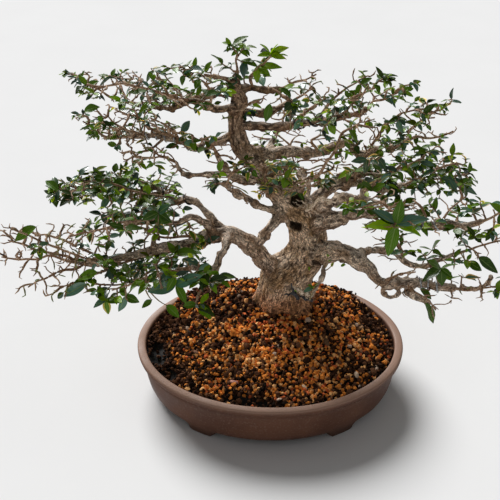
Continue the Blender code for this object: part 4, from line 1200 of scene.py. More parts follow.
def grain_colours(rng, x, y, share):
    """Orange and tan grains gather at the front and middle, dark ones at the back and by the rim."""
    flat = flat_places(x, y)
    warmth = 0.24 + sum(amount * spot(x, y, *place) for amount, *place in WARM_SPOTS)
    warmth += 0.22 * noise(flat, 30.0, 21) + 0.12 * noise(flat, 12.0, 22)
    warmth -= 0.16 * smoothstep((0.16 - share) / 0.16) + 0.09 * soil_dip(x, y)
    warm = rng.random(len(x)) < np.clip(warmth, 0.03, 0.85)
    tan, orange, red, brown, dark, black, pumice = (np.array(colour) for colour in GRAIN_COLOURS)
    pick = rng.random(len(x))[:, None]
    redder = 0.22 * spot(x, y, 20, 10, 50, 30)[:, None]
    warm_colour = np.where(pick < 0.28, tan, np.where(pick < 0.86 - redder, orange, red))
    cool_colour = np.where(pick < 0.42, brown, np.where(pick < 0.85, dark, black))
    colour = np.where(warm[:, None], warm_colour, cool_colour) * rng.uniform(0.72, 1.25, (len(x), 1))
    pale = rng.random(len(x)) < 0.006
    colour[pale] = pumice * rng.uniform(0.8, 1.1, (pale.sum(), 1))
    return colour


def grain_object(name, points, faces, colours, sharp=None):
    """Grains or chips in one piece, from points (grain, point, 3) and a colour for each grain."""
    obj = mesh_object(name, *copies(points, faces), granule_material(), sharp)
    opaque = np.column_stack((colours, np.ones(len(colours))))
    set_attribute(obj, "grain_colour", "FLOAT_COLOR", np.repeat(opaque, points.shape[1], axis=0))
    return dress(obj, "soil")


def make_chips(settings):
    """A few flat chips of bark and stone that lie on the grains."""
    shape, faces = icosahedron()
    rng = np.random.default_rng(settings.seed + 1)
    count = len(SOIL_CHIPS)
    x, y, length = (np.array([row[k] for row in SOIL_CHIPS], dtype=float)[:, None] for k in range(3))
    flat = shape[None] * np.concatenate((length * 0.6, length * 0.32, length * 0.10), axis=-1)[:, None]
    flat = flat * rng.uniform(0.75, 1.2, (count, len(shape), 1))
    turn, tilt = rng.uniform(0.0, math.tau, (count, 1)), rng.uniform(-0.35, 0.35, (count, 1))
    east, north = flat[..., 0], flat[..., 1]
    height = soil_rise(soil_share(x, y), y) + soil_relief(x, y) + settings.grain_size / MM * 0.95
    points = np.stack((
        east * np.cos(turn) - north * np.sin(turn) + x, east * np.sin(turn) + north * np.cos(turn) + y,
        flat[..., 2] + east * tilt + height), axis=-1)
    return grain_object("soil_chips", points, faces, np.array([row[3] for row in SOIL_CHIPS]))


def grain_grid(rng, size, top_layer):
    """Places in a jittered triangular grid, and which of them lie on top of another grain."""
    gap = size * GRAIN_GAP
    numbers = np.arange(-GRAIN_ROWS, GRAIN_ROWS + 1)
    rows, columns = np.meshgrid(numbers, numbers, indexing="ij")
    x = (columns + 0.5 * (rows % 2)) * gap
    y = rows * gap * 0.866
    keep = (np.abs(x) < POT_HALF_WIDTH) & (np.abs(y) < POT_HALF_DEPTH)
    x, y = x[keep], y[keep]
    x, y = x + rng.uniform(-0.35, 0.35, len(x)) * gap, y + rng.uniform(-0.35, 0.35, len(x)) * gap
    extra = rng.random(len(x)) < top_layer
    upper = np.concatenate((x * 0, x[extra] * 0 + 1))
    return np.concatenate((x, x[extra] + gap / 2)), np.concatenate((y, y[extra] + gap / 3)), upper


def make_granules(settings):
    """Loose grains: one jittered layer over the mound, and a thinner layer on top of it."""
    rng = np.random.default_rng(settings.seed)
    size = settings.grain_size / MM
    x, y, upper = grain_grid(rng, size, settings.top_layer)
    inset = SOIL_EDGE_INSET + size * 0.45 - SOIL_BACK_SPREAD * smoothstep((y / POT_HALF_DEPTH - 0.45) / 0.3)
    inside = (x / (POT_HALF_WIDTH - inset)) ** 2 + (y / (POT_HALF_DEPTH - inset)) ** 2 < 1.0
    foot = (((np.stack((x, y), axis=-1) - TRUNK_CENTRE) / TRUNK_FOOT_HALF_SIZES) ** 2).sum(axis=-1)
    bare = (soil_dip(x, y) > SOIL_BARE_DEPTH) & (rng.random(len(x)) < SOIL_BARE_SHARE)
    keep = inside & (foot > 0.8) & ~bare
    x, y, upper = x[keep], y[keep], upper[keep]
    share = soil_share(x, y)
    radius = size * 0.5 * np.exp(rng.normal(0.0, 0.2, len(x)))
    z = soil_rise(share, y) + soil_relief(x, y) + rng.uniform(-0.9, 0.9, len(x)) + upper * size * 0.55
    shape, faces = icosahedron()
    count = len(x)
    stretch = rng.uniform(0.65, 1.35, (count, 1, 3))
    rough = rng.uniform(0.74, 1.24, (count, len(shape), 1))
    points = (shape[None] * stretch * rough) @ random_turns(rng, count)
    points = points * (radius * 1.12)[:, None, None] + np.stack((x, y, z), axis=-1)[:, None]
    return grain_object("soil_granules", points, faces, grain_colours(rng, x, y, share), sharp=38)


# Wood

def wander(route, amount, seed):
    """Bends a route by smooth noise, so that a limb isn't too even. Its two ends keep their places."""
    run = run_lengths(route[:, :3])
    ease = np.minimum(np.minimum(run, run[-1] - run) / 15.0, 1.0)[:, None]
    shift = np.stack([noise(route[:, :3], 17.0, seed + k) for k in range(3)], axis=-1)
    swell = 1.0 + 0.2 * noise(route[:, :3], 12.0, seed + 5)
    return np.column_stack((route[:, :3] + shift * amount * ease, route[:, 3] * swell))


def wood_lines():
    """Every woody route at close steps: the trunk first, then the limbs and the stubs, by name."""
    lines = {"trunk": smooth_route(TRUNK_ROUTE, TRUNK_STEP)}
    for seed, (name, route) in enumerate(LIMBS.items()):
        lines[name] = wander(smooth_route(route, LIMB_STEP), LIMB_WANDER, 10 * seed)
    for seed, route in enumerate(STUBS):
        lines[f"stub_{seed}"] = smooth_route(route, LIMB_STEP)
    return lines


def trunk_lobes(turn, height):
    """Radius factor of the trunk: flutes that twist as they climb, and roots that swell its foot."""
    factor = 1.0 - 0.05 * (1.0 + np.cos(5.0 * turn + 0.012 * height))
    factor = factor - 0.03 * np.cos(3.0 * turn - 0.02 * height)
    low = np.exp(-np.maximum(height - 98.0, 0.0) / 17.0)
    for angle, swell, width in ROOTS:
        away = (np.degrees(turn) - angle + 180.0) % 360.0 - 180.0
        factor = factor + swell * low * np.exp(-(away / width) ** 2)
    return factor


def wood_tube(route, sides, factor=None):
    """One tube with rounded ends. factor(turn, height) changes its radius round the ring."""
    tangents, side, up = turning_frames(route[:, :3])
    radius = route[:, 3:] * np.ones(sides)
    if factor:
        radius = radius * factor(turns(sides)[None], route[:, 2:3])
    rings = rings_round(route[:, :3], radius, side, up, sides)
    first = route[0, :3] - tangents[0] * route[0, 3] * WOOD_END
    last = route[-1, :3] + tangents[-1] * route[-1, 3] * WOOD_END
    return np.vstack((rings.reshape(-1, 3), first, last)), ring_faces(len(route), sides)


def melt_together(points, faces, voxel, passes):
    """One closed skin round overlapping tubes: a voxel remesh, then smoothing that softens the joins."""
    raw = mesh_object("raw_wood", points, faces, bpy.data.materials.new("raw"))
    remesh = raw.modifiers.new("Remesh", "REMESH")
    remesh.mode = "VOXEL"
    remesh.voxel_size = voxel * MM
    smooth = raw.modifiers.new("Smooth", "SMOOTH")
    smooth.factor = 0.5
    smooth.iterations = passes
    mesh = evaluated_mesh(raw)
    mesh.calc_loop_triangles()
    spots, normals = np.empty(len(mesh.vertices) * 3), np.empty(len(mesh.vertices) * 3)
    corners = np.empty(len(mesh.loop_triangles) * 3, dtype=np.int32)
    mesh.vertices.foreach_get("co", spots)
    mesh.loop_triangles.foreach_get("vertices", corners)
    mesh.vertex_normals.foreach_get("vector", normals)
    bpy.data.objects.remove(raw)
    bpy.data.meshes.remove(mesh)
    return (spots.reshape(-1, 3) - POT_MIDDLE) / MM, corners.reshape(-1, 3), normals.reshape(-1, 3)


def nearest_wood(points, centres, radii):
    """For each point, the number of the nearest place on the wood and the gap to its skin, in batches."""
    numbers, gaps = np.empty(len(points), dtype=np.int64), np.empty(len(points))
    for start in range(0, len(points), BATCH):
        part = slice(start, start + BATCH)
        some = points[part]
        square = (some ** 2).sum(axis=1)[:, None] + (centres ** 2).sum(axis=1) - 2.0 * some @ centres.T
        gap = np.sqrt(np.maximum(square, 0.0)) - radii
        numbers[part], gaps[part] = np.argmin(gap, axis=1), np.min(gap, axis=1)
    return numbers, gaps


def limb_space(points, lines):
    """Each point in the space of its nearest limb, and the radius there.

    The first two numbers lie across the limb and the third one along it.
    """
    routes = list(lines.values())
    wood = np.concatenate(routes)
    frames = np.concatenate([np.stack(turning_frames(route[:, :3]), axis=1) for route in routes])
    runs = np.concatenate(
        [run_lengths(route[:, :3]) + LIMB_GRAIN_SHIFT * number for number, route in enumerate(routes)])
    numbers, _ = nearest_wood(points, wood[:, :3], wood[:, 3])
    local = np.einsum("nij,nj->ni", frames[numbers], points - wood[numbers, :3])
    return np.stack((local[:, 1], local[:, 2], local[:, 0] + runs[numbers]), axis=-1), wood[numbers, 3]


def carve(points):
    """Swellings, hollows and scars: where each point moves, and how dark the painted shade inside makes it.

    A swelling lifts by exp(-r^2). A hollow presses its floor in and lifts a rim round its edge.
    """
    move = np.zeros_like(points)
    dark = np.zeros(len(points))
    for middle, size, way in SWELLINGS:
        away = np.linalg.norm(points - np.array(middle), axis=-1) / size
        move += np.array(way) * np.exp(-away ** 2)[:, None]
    for middle, sizes, way, rim, tone in HOLLOWS:
        away = (np.abs((points - np.array(middle)) / np.array(sizes)) ** 2.4).sum(axis=-1) ** (1 / 2.4)
        way = np.array(way, dtype=float)
        move += way * smoothstep((1.08 - away) * 3.2)[:, None]
        move -= unit(way) * (rim * np.exp(-((away - 1.25) / 0.22) ** 2))[:, None]
        # painted shade that deepens inside each hollow
        dark = np.maximum(dark, tone * smoothstep((1.14 - away) * 4.5))
    return move, dark


def make_wood(settings):
    """Trunk and limbs as one skin, then relief along its normals.

    Lumps are noise in space. Ridges are 1 - |noise| in the limb's own space, stretched along it. Both
    grow with the limb's radius.
    """
    lines = wood_lines()
    parts = [wood_tube(lines["trunk"], TRUNK_SIDES, trunk_lobes)]
    parts += [wood_tube(route, LIMB_SIDES) for name, route in lines.items() if name != "trunk"]
    points, faces, normals = melt_together(*joined(parts), settings.voxel / MM, settings.smoothing)
    grain, radius = limb_space(points, lines)
    thick = np.clip(radius / 30.0, 0.1, 1.0)
    lumps = noise(points, 24.0, 31) * (0.25 + 1.1 * thick) + noise(points, 9.5, 32) * (0.95 - 0.2 * thick)
    knots = np.maximum(fractal(points, 12.0, 2, 33) - 0.3, 0.0) * (5.4 - 3.6 * thick)
    stretched = grain * np.array((1.0, 1.0, 0.34))
    ridges = 1.0 - np.abs(fractal(stretched, 4.6, 2, 34)) * 2.0
    fine = fractal(points, 4.2, 2, 36) * 0.35
    relief = ridges * (0.28 + 0.80 * thick) + fine
    move, dark = carve(points)
    points = points + normals * (lumps + knots + relief - 0.2)[:, None] + move
    wood = mesh_object("trunk_and_limbs", points, faces, bark_material())
    front = 0.65 + 0.7 * noise(points, 22.0, 37) + 0.010 * (60.0 - points[:, 1])
    set_attribute(wood, "grain", "FLOAT_VECTOR", grain)
    for name, values in {
        "thickness": radius,
        # also steers the painted shade in the grooves and the painted highlight on the ridges
        "relief": ridges * 0.9 + fine * 0.8 + lumps * 0.15 - 0.35,
        "stain": smoothstep((152.0 - points[:, 2]) / 48.0) * smoothstep(front) * 0.85,
        # painted shade: the trunk darkens towards its top, under the crown
        "crown": smoothstep((points[:, 2] - 345.0) / 70.0),
        # painted shade inside the hollows and scars
        "hollow": dark,
        # which way the skin faces, for the painted highlight on tops and the painted shade on undersides
        "upward": normals[:, 2],
    }.items():
        set_attribute(wood, name, "FLOAT", values)
    return dress(wood, "bark", "trunk")


def make_wire(name, limb, start, end, coils, metal, lines):
    """A coil of wire: a circle carried round the limb at radius + wire, stepping along it."""
    count = coils * COIL_STEPS + 1
    centre, radius, _ = along_route(lines[limb], np.linspace(start, end, count))
    _, side, up = turning_frames(centre)
    turn = np.arange(count) * math.tau / COIL_STEPS
    reach = (radius + WIRE_RADIUS * 0.9)[:, None]
    coil = centre + reach * (side * np.cos(turn)[:, None] + up * np.sin(turn)[:, None])
    points = tube_points(coil[None], np.full((1, count), WIRE_RADIUS), WIRE_SIDES)[0]
    obj = mesh_object(f"coil_{name[5:]}", points, ring_faces(count, WIRE_SIDES), metal)
    return dress(obj, "wire", name)


# Twigs and leaves

def stem_line(spray, lines, seed):
    """The stem of a spray, from inside its limb to its tip."""
    limb, share, route = spray[:3]
    place, _, way = along_route(lines[limb], share)
    if share < 1.0:
        way = unit(np.array(route[0]) - place)
    places = np.vstack((place - way * 3.0, place + way * 5.0, np.array(route, dtype=float)))
    route = np.column_stack((places, np.linspace(2.5, 1.0, len(places))))
    return wander(smooth_route(route, STEM_STEP), STEM_WANDER, STEM_FIRST_SEED + seed)


def outer_part(limb, lines):
    """The thin outer part of a limb, where it bears twigs."""
    route = lines[limb]
    share = run_lengths(route[:, :3]) / run_lengths(route[:, :3])[-1]
    return route[(route[:, 3] < TWIG_BEARING_RADIUS) & (share > TWIG_BEARING_SHARE)]


def all_sprays():
    """Every leafy stem: those of the sprays by name, then the extra shoots, each with limb and share."""
    named = [(*row[4:], *row[:4]) if row[4:] else (name, 1.0, *row) for name, row in SPRAYS.items()]
    return [*named, *SHOOTS]


def spaced(route, gap):
    """Points about one gap apart along a route."""
    count = max(int(run_lengths(route[:, :3])[-1] / gap), 1)
    return along_route(route, (np.arange(count) + 0.5) / count)[0]


def pad_places(rng, spray, stem, lines, gap):
    """Places that the twigs of a spray reach for: a flat pad along its stem and its limb's outer part.

    A place is the point at a random share of the route, plus a random share of the reach to the side,
    plus a smaller one upwards. The pad narrows towards its tip.
    """
    limb, share, _, reach, size, leafy = spray
    bearing = outer_part(limb, lines)
    route = np.vstack((bearing, stem)) if share == 1.0 and len(bearing) > 2 else stem
    length = run_lengths(route[:, :3])[-1] + reach * 0.5
    gap = gap * (0.46 + 0.018 * size + 0.3 * min(leafy, 0.6))
    count = int(length * reach * 1.5 / gap ** 2)
    part = rng.uniform(0.0, 1.0, count)
    centre, _, way = along_route(route, np.minimum(part * length / (length - reach * 0.5), 1.0))
    past = np.maximum(part * length - (length - reach * 0.5), 0.0)
    across = unit(np.cross(way, UP))
    narrow = reach * np.sqrt(np.clip(1.0 - (np.maximum(part - 0.45, 0.0) / 0.58) ** 2, 0.04, 1.0))
    side = rng.uniform(-1.0, 1.0, count)
    lift = reach * rng.uniform(-0.08, 0.20, count) * (1.0 - 0.6 * side ** 2)
    return centre + way * past[:, None] + across * (side * narrow)[:, None] + UP * lift[:, None]


def reach_out(rng, seeds, targets):
    """Grows twigs from the seeds towards the targets, a step at a time, and returns places and parents.

    In each round every target still open pulls on its nearest point, which grows one step along the mean
    of its pulls and of its own last step. A target within the near distance is closed.
    """
    places, parents = seeds, np.full(len(seeds), -1)
    ways = np.zeros_like(seeds)
    owner, distance = np.zeros(len(targets), dtype=int), np.full(len(targets), np.inf)
    fresh = np.arange(len(seeds))
    for _ in range(TWIG_ROUNDS):
        best, away = nearest(targets, places[fresh])
        closer = away < distance
        distance[closer] = away[closer]
        owner[closer] = fresh[best[closer]]
        pulling = (distance > TWIG_NEAR) & (distance < TWIG_FAR)
        if not pulling.any():
            break
        owners, index = np.unique(owner[pulling], return_inverse=True)
        pull = np.zeros((len(owners), 3))
        np.add.at(pull, index, unit(targets[pulling] - places[owner[pulling]]))
        heading = unit(unit(pull) + 0.55 * ways[owners] + rng.normal(0.0, TWIG_WOBBLE, pull.shape))
        fresh = np.arange(len(places), len(places) + len(owners))
        places = np.vstack((places, places[owners] + heading * TWIG_STEP))
        ways = np.vstack((ways, heading))
        parents = np.concatenate((parents, owners))
    return places, parents


def twig_chains(parents, seeds):
    """Unbranched runs of points, each from its fork to its tip, and how many tips hang on each point."""
    tips = np.zeros(len(parents), dtype=int)
    follow = np.full(len(parents), -1)
    for i in range(len(parents) - 1, seeds - 1, -1):
        tips[i] = max(tips[i], 1)
        parent = parents[i]
        tips[parent] += tips[i]
        if follow[parent] < 0 or tips[i] > tips[follow[parent]]:
            follow[parent] = i
    chains = []
    for i in range(seeds, len(parents)):
        if parents[i] < seeds or follow[parents[i]] != i:
            chain = [parents[i], i]
            while follow[chain[-1]] >= 0:
                chain.append(follow[chain[-1]])
            chains.append(np.array(chain))
    return chains, tips


def grow_tree(settings):
    """All twigs: the woody routes, the stems, the places, the chains and the radius at each place."""
    rng = np.random.default_rng(settings.seed)
    lines = wood_lines()
    sprays = all_sprays()
    stems = [stem_line(spray, lines, k) for k, spray in enumerate(sprays)]
    gap, fork_gap = settings.twig_gap / MM, settings.fork_gap / MM
    targets = np.vstack([pad_places(rng, spray, stem, lines, gap) for spray, stem in zip(sprays, stems)])
    targets = targets[clear_of_tree(targets, lines)]
    outer = [outer_part(limb, lines) for limb in LIMBS]
    bearing = [*stems, *(route for route in outer if len(route) > 4)]
    seeds = np.vstack([spaced(route, fork_gap) for route in bearing])
    places, parents = reach_out(rng, seeds, targets)
    chains, tips = twig_chains(parents, len(seeds))
    radii = np.minimum(0.92 * np.maximum(tips, 1) ** 0.40, 2.7)
    return rng, lines, stems, places, chains, radii


def leaf_stalks(places, lines):
    """A stalk to each place where large leaves stand free: from the nearest wood or twig, sagging a little.

    At a share s the stalk lies at start + (end - start) s - 0.12 L sin(pi s) downwards.
    """
    wood = np.vstack([places, *(route[:, :3] for route in lines.values())])
    ends = np.unique(LARGE_LEAVES[:, :3], axis=0)
    best, length = nearest(ends, wood)
    free = length > 2.0
    share = np.linspace(0.0, 1.0, 6)[None, :, None]
    sag = 0.12 * length[free, None, None] * np.sin(math.pi * share) * UP
    return wood[best][free, None] + (ends - wood[best])[free, None] * share - sag


def make_twigs(settings):
    """Stems and twigs as tapered tubes in one piece. Chains of equal length are made together."""
    rng, lines, stems, places, chains, radii = grow_tree(settings)
    parts, greens = [], []
    for stem in stems:
        points = tube_points(stem[None, :, :3], stem[None, :, 3], STEM_SIDES)[0]
        parts.append((points, ring_faces(len(stem), STEM_SIDES)))
        greens.append(np.zeros(len(points)))
    for length in sorted({len(chain) for chain in chains}):
        same = np.array([chain for chain in chains if len(chain) == length])
        width = radii[same]
        width[:, 0] = width[:, 1]
        width[:, -1] *= 0.4
        points = tube_points(places[same], width * rng.uniform(0.8, 1.3, width.shape), TWIG_SIDES)
        parts.append(copies(points, ring_faces(length, TWIG_SIDES)))
        fresh = np.where(noise(places[same[:, -1]], 11.0, 51) > 0.45, 0.85, 0.0)[:, None]
        green = fresh * smoothstep(np.linspace(0.0, 1.0, length) * 1.6 - 0.3)
        rings = np.repeat(green, TWIG_SIDES, axis=1)
        greens.append(np.concatenate((rings, green[:, :1], green[:, -1:]), axis=1).ravel())
    stalks = leaf_stalks(places, lines)
    width = np.tile(np.linspace(1.1, 0.6, stalks.shape[1]), (len(stalks), 1))
    parts.append(copies(tube_points(stalks, width, STALK_SIDES), ring_faces(stalks.shape[1], STALK_SIDES)))
    greens.append(np.full(len(parts[-1][0]), 0.25))
    twigs = mesh_object("twigs", *joined(parts), twig_material())
    set_attribute(twigs, "green", "FLOAT", np.concatenate(greens))
    return dress(twigs, "bark")


def leaf_blades(stations, base, heading, upward, length, width, droop, fold, wave):
    """Points of many closed blades at once, with their places across and along the blade.

    At a share v of the length the half width is w = W sin(pi v^0.8)^0.9. A point at u across lies at
    (u w, L v, fold |u| w - droop L v^2 + wave w u sin(7 v)). The underside lies half a millimetre lower.
    """
    along = unit(heading)
    across = unit(np.cross(along, upward))
    normal = np.cross(across, along)
    v = np.concatenate((np.repeat(stations, len(LEAF_ACROSS)), (-0.14, 1.0)))
    u = np.concatenate((np.tile(LEAF_ACROSS, len(stations)), (0.0, 0.0)))
    under = np.concatenate((np.tile(LEAF_UNDER, len(stations)), (0.5, 0.5)))
    half = width[:, None] * np.maximum(np.sin(math.pi * np.clip(v, 0, 1) ** 0.8), 0.0) ** 0.9 + 0.25
    right = (u * half)[..., None] * across[:, None]
    forth = (length[:, None] * v)[..., None] * along[:, None]
    rise = fold[:, None] * np.abs(u) * half - droop[:, None] * length[:, None] * v * v
    rise = rise + wave[:, None] * half * u * np.sin(7.0 * v) - under * 0.5
    return base[:, None] + right + forth + rise[..., None] * normal[:, None], u, v


def leaf_pairs(rng, base, way, turn, size, opening, youth):
    """Two leaves that face each other across a shoot: base, heading, upward side, length and tone."""
    side = unit(np.cross(way, UP) + 1e-3)
    other = np.cross(way, side)
    rows = []
    for half_turn in (0.0, math.pi):
        angle = (turn + half_turn + rng.normal(0.0, 0.25, len(base)))[:, None]
        out = side * np.cos(angle) + other * np.sin(angle)
        spread = np.radians(opening + rng.normal(0.0, 13.0, len(base)))[:, None]
        heading = way * np.cos(spread) + out * np.sin(spread)
        flatter = heading * np.array((1.0, 1.0, 0.4))
        heading = unit(flatter + UP * rng.uniform(-0.22, 0.20, (len(base), 1)))
        upward = unit(way * 0.3 + UP + rng.normal(0.0, 0.3, way.shape))
        length = size * 0.93 * np.exp(rng.normal(0.0, 0.2, len(base)))
        tone = np.clip(rng.normal(0.38, 0.18, len(base)) + youth, 0.1, 1.0)
        # about a quarter of the leaves get the blue-green tones that paint a bluish sheen
        tone = np.where(rng.random(len(base)) < 0.23, rng.uniform(0.0, 0.09, len(base)), tone)
        rows.append((base, heading, upward, length, tone))
    return [np.concatenate(column) for column in zip(*rows)]


def stem_marks(stems):
    """Marks along the stems: x, y, z and the number of the stem."""
    rows = [spaced(stem, MARK_GAP) for stem in stems]
    return np.vstack([np.column_stack((row, np.full(len(row), number))) for number, row in enumerate(rows)])


def nearest_stem(points, marks):
    """The number of the stem that is nearest to each point."""
    return marks[nearest(points, marks[:, :3])[0], 3].astype(int)


def leaf_rows(settings):
    """Every leaf: base, heading, upward side, length, tone and the number of its spray.

    A leafy twig bears pairs at its tip and at the points behind it, each turned a quarter from the last.
    """
    rng, lines, stems, places, chains, _ = grow_tree(settings)
    sprays = all_sprays()
    marks = stem_marks(stems)
    owner = nearest_stem(places[np.array([chain[-1] for chain in chains])], marks)
    size = np.array([spray[4] for spray in sprays], dtype=float)[owner]
    leafy = np.array([spray[5] for spray in sprays])[owner]
    bears = rng.random(len(chains)) < leafy * settings.leafiness
    start = rng.uniform(0.0, math.pi, len(chains))
    rows = []
    for pair, (opening, scale, youth, chance) in enumerate(LEAF_PAIRS):
        reaches = np.array([len(chain) > pair + 1 for chain in chains])
        keep = reaches & bears & (rng.random(len(chains)) < chance)
        ends = [chain[-2 - pair:][:2] for chain, kept in zip(chains, keep) if kept]
        before, here = (places[numbers] for numbers in np.array(ends, dtype=int).reshape(-1, 2).T)
        turn = start[keep] + pair * math.pi / 2
        row = leaf_pairs(rng, here, unit(here - before), turn, size[keep] * scale, opening, youth)
        rows.append([*row, np.tile(owner[keep], 2)])
    base, heading, upward, length, tone, owner = (np.concatenate(column) for column in zip(*rows))
    length = np.where(rng.random(len(base)) < 0.04, length * 1.3, length)
    keep = clear_of_tree(base + heading * (length * 0.6)[:, None], lines)
    keep &= np.linalg.norm(base - np.array(ROSETTE_CENTRE), axis=-1) > ROSETTE_CLEARANCE
    rows = [values[keep] for values in (base, heading, upward, length, tone, owner)]
    spots, reach = LARGE_LEAVES[:, :3], LARGE_LEAVES[:, 3:6]
    upward = unit(np.array(LARGE_LEAF_UPWARD) + rng.normal(0.0, 0.22, reach.shape))
    length = np.linalg.norm(reach, axis=-1)
    more = (spots, unit(reach), upward, length, LARGE_LEAVES[:, 6], nearest_stem(spots, marks))
    base, heading, upward, length, tone, owner = (np.concatenate(pair) for pair in zip(rows, more))
    stray = owner >= len(SPRAYS)
    owner[stray] = nearest_stem(base[stray], marks[marks[:, 3] < len(SPRAYS)])
    return rng, base, heading, upward, length, tone, owner


def clear_of_tree(places, lines):
    """True for places outside the wood, above the soil and inside the solids' box."""
    wood = np.concatenate(list(lines.values()))
    _, gaps = nearest_wood(places, wood[:, :3], wood[:, 3])
    low, high = ((np.array(corner) - POT_MIDDLE) / MM for corner in CAD_BOX)
    over_pot = (places[:, 0] / POT_HALF_WIDTH) ** 2 + (places[:, 1] / POT_HALF_DEPTH) ** 2 < 1.15
    above = np.where(over_pot, places[:, 2] > LEAVES_OVER_SOIL, True)
    inside = (places > low - LEAVES_PAST_BOX) & (places < high + LEAVES_PAST_BOX)
    return (gaps > 1.0) & above & inside.all(axis=1)


def make_leaves(settings):
    """One piece of leaves for each spray, with the tone of each leaf."""
    rng, base, heading, upward, length, tone, owner = leaf_rows(settings)
    count = len(base)
    width = length * rng.uniform(0.21, 0.28, count) * np.where(length > 30.0, 0.85, 1.0)
    droop, fold = rng.uniform(0.02, 0.28, count), rng.uniform(0.10, 0.45, count)
    forms = (base, heading, upward, length, width, droop, fold, rng.normal(0.0, 0.12, count))
    light = rng.uniform(0.32, 1.85, count)
    light[-len(LARGE_LEAVES):] = rng.uniform(1.1, 1.7, len(LARGE_LEAVES))
    by_trunk = np.exp(-(((base - YELLOWED_MIDDLE) / YELLOWED_SIZES) ** 2).sum(axis=1))
    yellowed = (rng.random(count) < 0.08 + 0.75 * by_trunk) & (length < YELLOWED_LENGTH)
    yellow = np.where(yellowed, rng.uniform(0.4, 1.0, count), 0.0)
    colours = np.stack((tone, light, yellow, np.ones(count)), axis=-1)
    material = leaf_material()
    long = length > FINE_LEAF_LENGTH
    for number, name in enumerate(SPRAYS):
        parts, tones, blades = [], [], []
        for stations, chosen in ((LEAF_STATIONS, ~long), (FINE_LEAF_STATIONS, long)):
            rows = np.flatnonzero((owner == number) & chosen)
            places, u, v = leaf_blades(stations, *(values[rows] for values in forms))
            parts.append(copies(places, ring_faces(len(stations), len(LEAF_ACROSS))))
            tones.append(np.repeat(colours[rows], places.shape[1], axis=0))
            blades.append(np.tile(np.stack((u * 0.5 + 0.5, np.clip(v, 0.0, 1.0)), axis=-1), (len(rows), 1)))
        obj = mesh_object(f"leaves_{name}", *joined(parts), material, sharp=75)
        set_attribute(obj, "tone", "FLOAT_COLOR", np.concatenate(tones))
        corners = np.empty(len(obj.data.loops), dtype=np.int32)
        obj.data.loops.foreach_get("vertex_index", corners)
        across_and_along = np.concatenate(blades)[corners].astype(np.float32)
        obj.data.uv_layers.new(name="blade").data.foreach_set("uv", across_and_along.ravel())
        dress(obj, "foliage", f"spray_{name}")


def make_deadwood(settings):
    """Torn splinters by the hollow and on the cut branch, each a bent cone."""
    rng = np.random.default_rng(settings.seed)
    start, end = (np.array([row[k] for row in SPLINTERS], dtype=float)[:, None] for k in (0, 1))
    thick, paleness = (np.array([row[k] for row in SPLINTERS]) for k in (2, 3))
    share = np.linspace(-0.08, 1.0, 9)
    inside = np.clip(share, 0.0, 1.0)
    bend = rng.normal(0.0, 0.07, (len(thick), len(share), 3)) * np.sin(math.pi * inside)[:, None]
    bend = bend * np.linalg.norm(end - start, axis=-1)[..., None]
    widths = thick[:, None] * (1.0 - 0.72 * inside) * rng.uniform(0.8, 1.25, bend.shape[:2])
    points = tube_points(start + (end - start) * share[:, None] + bend, widths, SPLINTER_SIDES)
    pieces = copies(points, ring_faces(len(share), SPLINTER_SIDES))
    deadwood = mesh_object("deadwood", *pieces, deadwood_material())
    set_attribute(deadwood, "pale", "FLOAT", np.repeat(paleness, points.shape[1]))
    return dress(deadwood, "bark")


# Studio

def add_light(name, kind, strength, **settings):
    """A light with its strength and its settings, in the scene."""
    obj = bpy.data.objects.new(name, bpy.data.lights.new(name, kind))
    obj.data.energy = strength
    for key, value in settings.items():
        setattr(obj.data, key, value)
    bpy.context.scene.collection.objects.link(obj)
    return obj


def add_softbox(name, offset, size, power):
    """A round softbox that looks at the middle of the tree."""
    obj = add_light(name, "AREA", power, shape="DISK", size=size)
    way = -np.array(offset)
    obj.location = POT_MIDDLE + np.array(TREE_MIDDLE) + np.array(offset)
    tilt = math.acos(-way[2] / np.linalg.norm(way))
    obj.rotation_euler = (tilt, 0.0, math.atan2(way[0], -way[1]) + math.pi)
    return obj


def add_sun(name, comes_from, strength, softness):
    sun = add_light(name, "SUN", strength, angle=softness)
    sun.rotation_euler = Vector(comes_from).to_track_quat("Z", "Y").to_euler()
    return sun


def light_group(name, objects, state="INCLUDE"):
    """A collection that a light takes in or leaves out."""
    group = bpy.data.collections.new(name)
    for obj in objects:
        group.objects.link(obj)
    for entry in group.collection_objects:
        entry.light_linking.link_state = state
    return group


def add_camera():
    """The photo's camera, level and looking down at the tree."""
    pitch = math.radians(CAMERA_PITCH)
    camera = bpy.data.objects.new("camera", bpy.data.cameras.new("camera"))
    camera.data.lens = CAMERA_LENS
    camera.data.sensor_width = CAMERA_SENSOR
    camera.data.clip_end = 3.0 * FLOOR_HALF_SIZE * MM
    back, rise = CAMERA_DISTANCE * math.cos(pitch), CAMERA_DISTANCE * math.sin(pitch)
    camera.location = np.array((CAMERA_SIDE, -back, CAMERA_AIM_HEIGHT + rise)) * MM + POT_MIDDLE
    camera.rotation_euler = (math.pi / 2 - pitch, 0.0, 0.0)
    bpy.context.scene.collection.objects.link(camera)
    bpy.context.scene.camera = camera


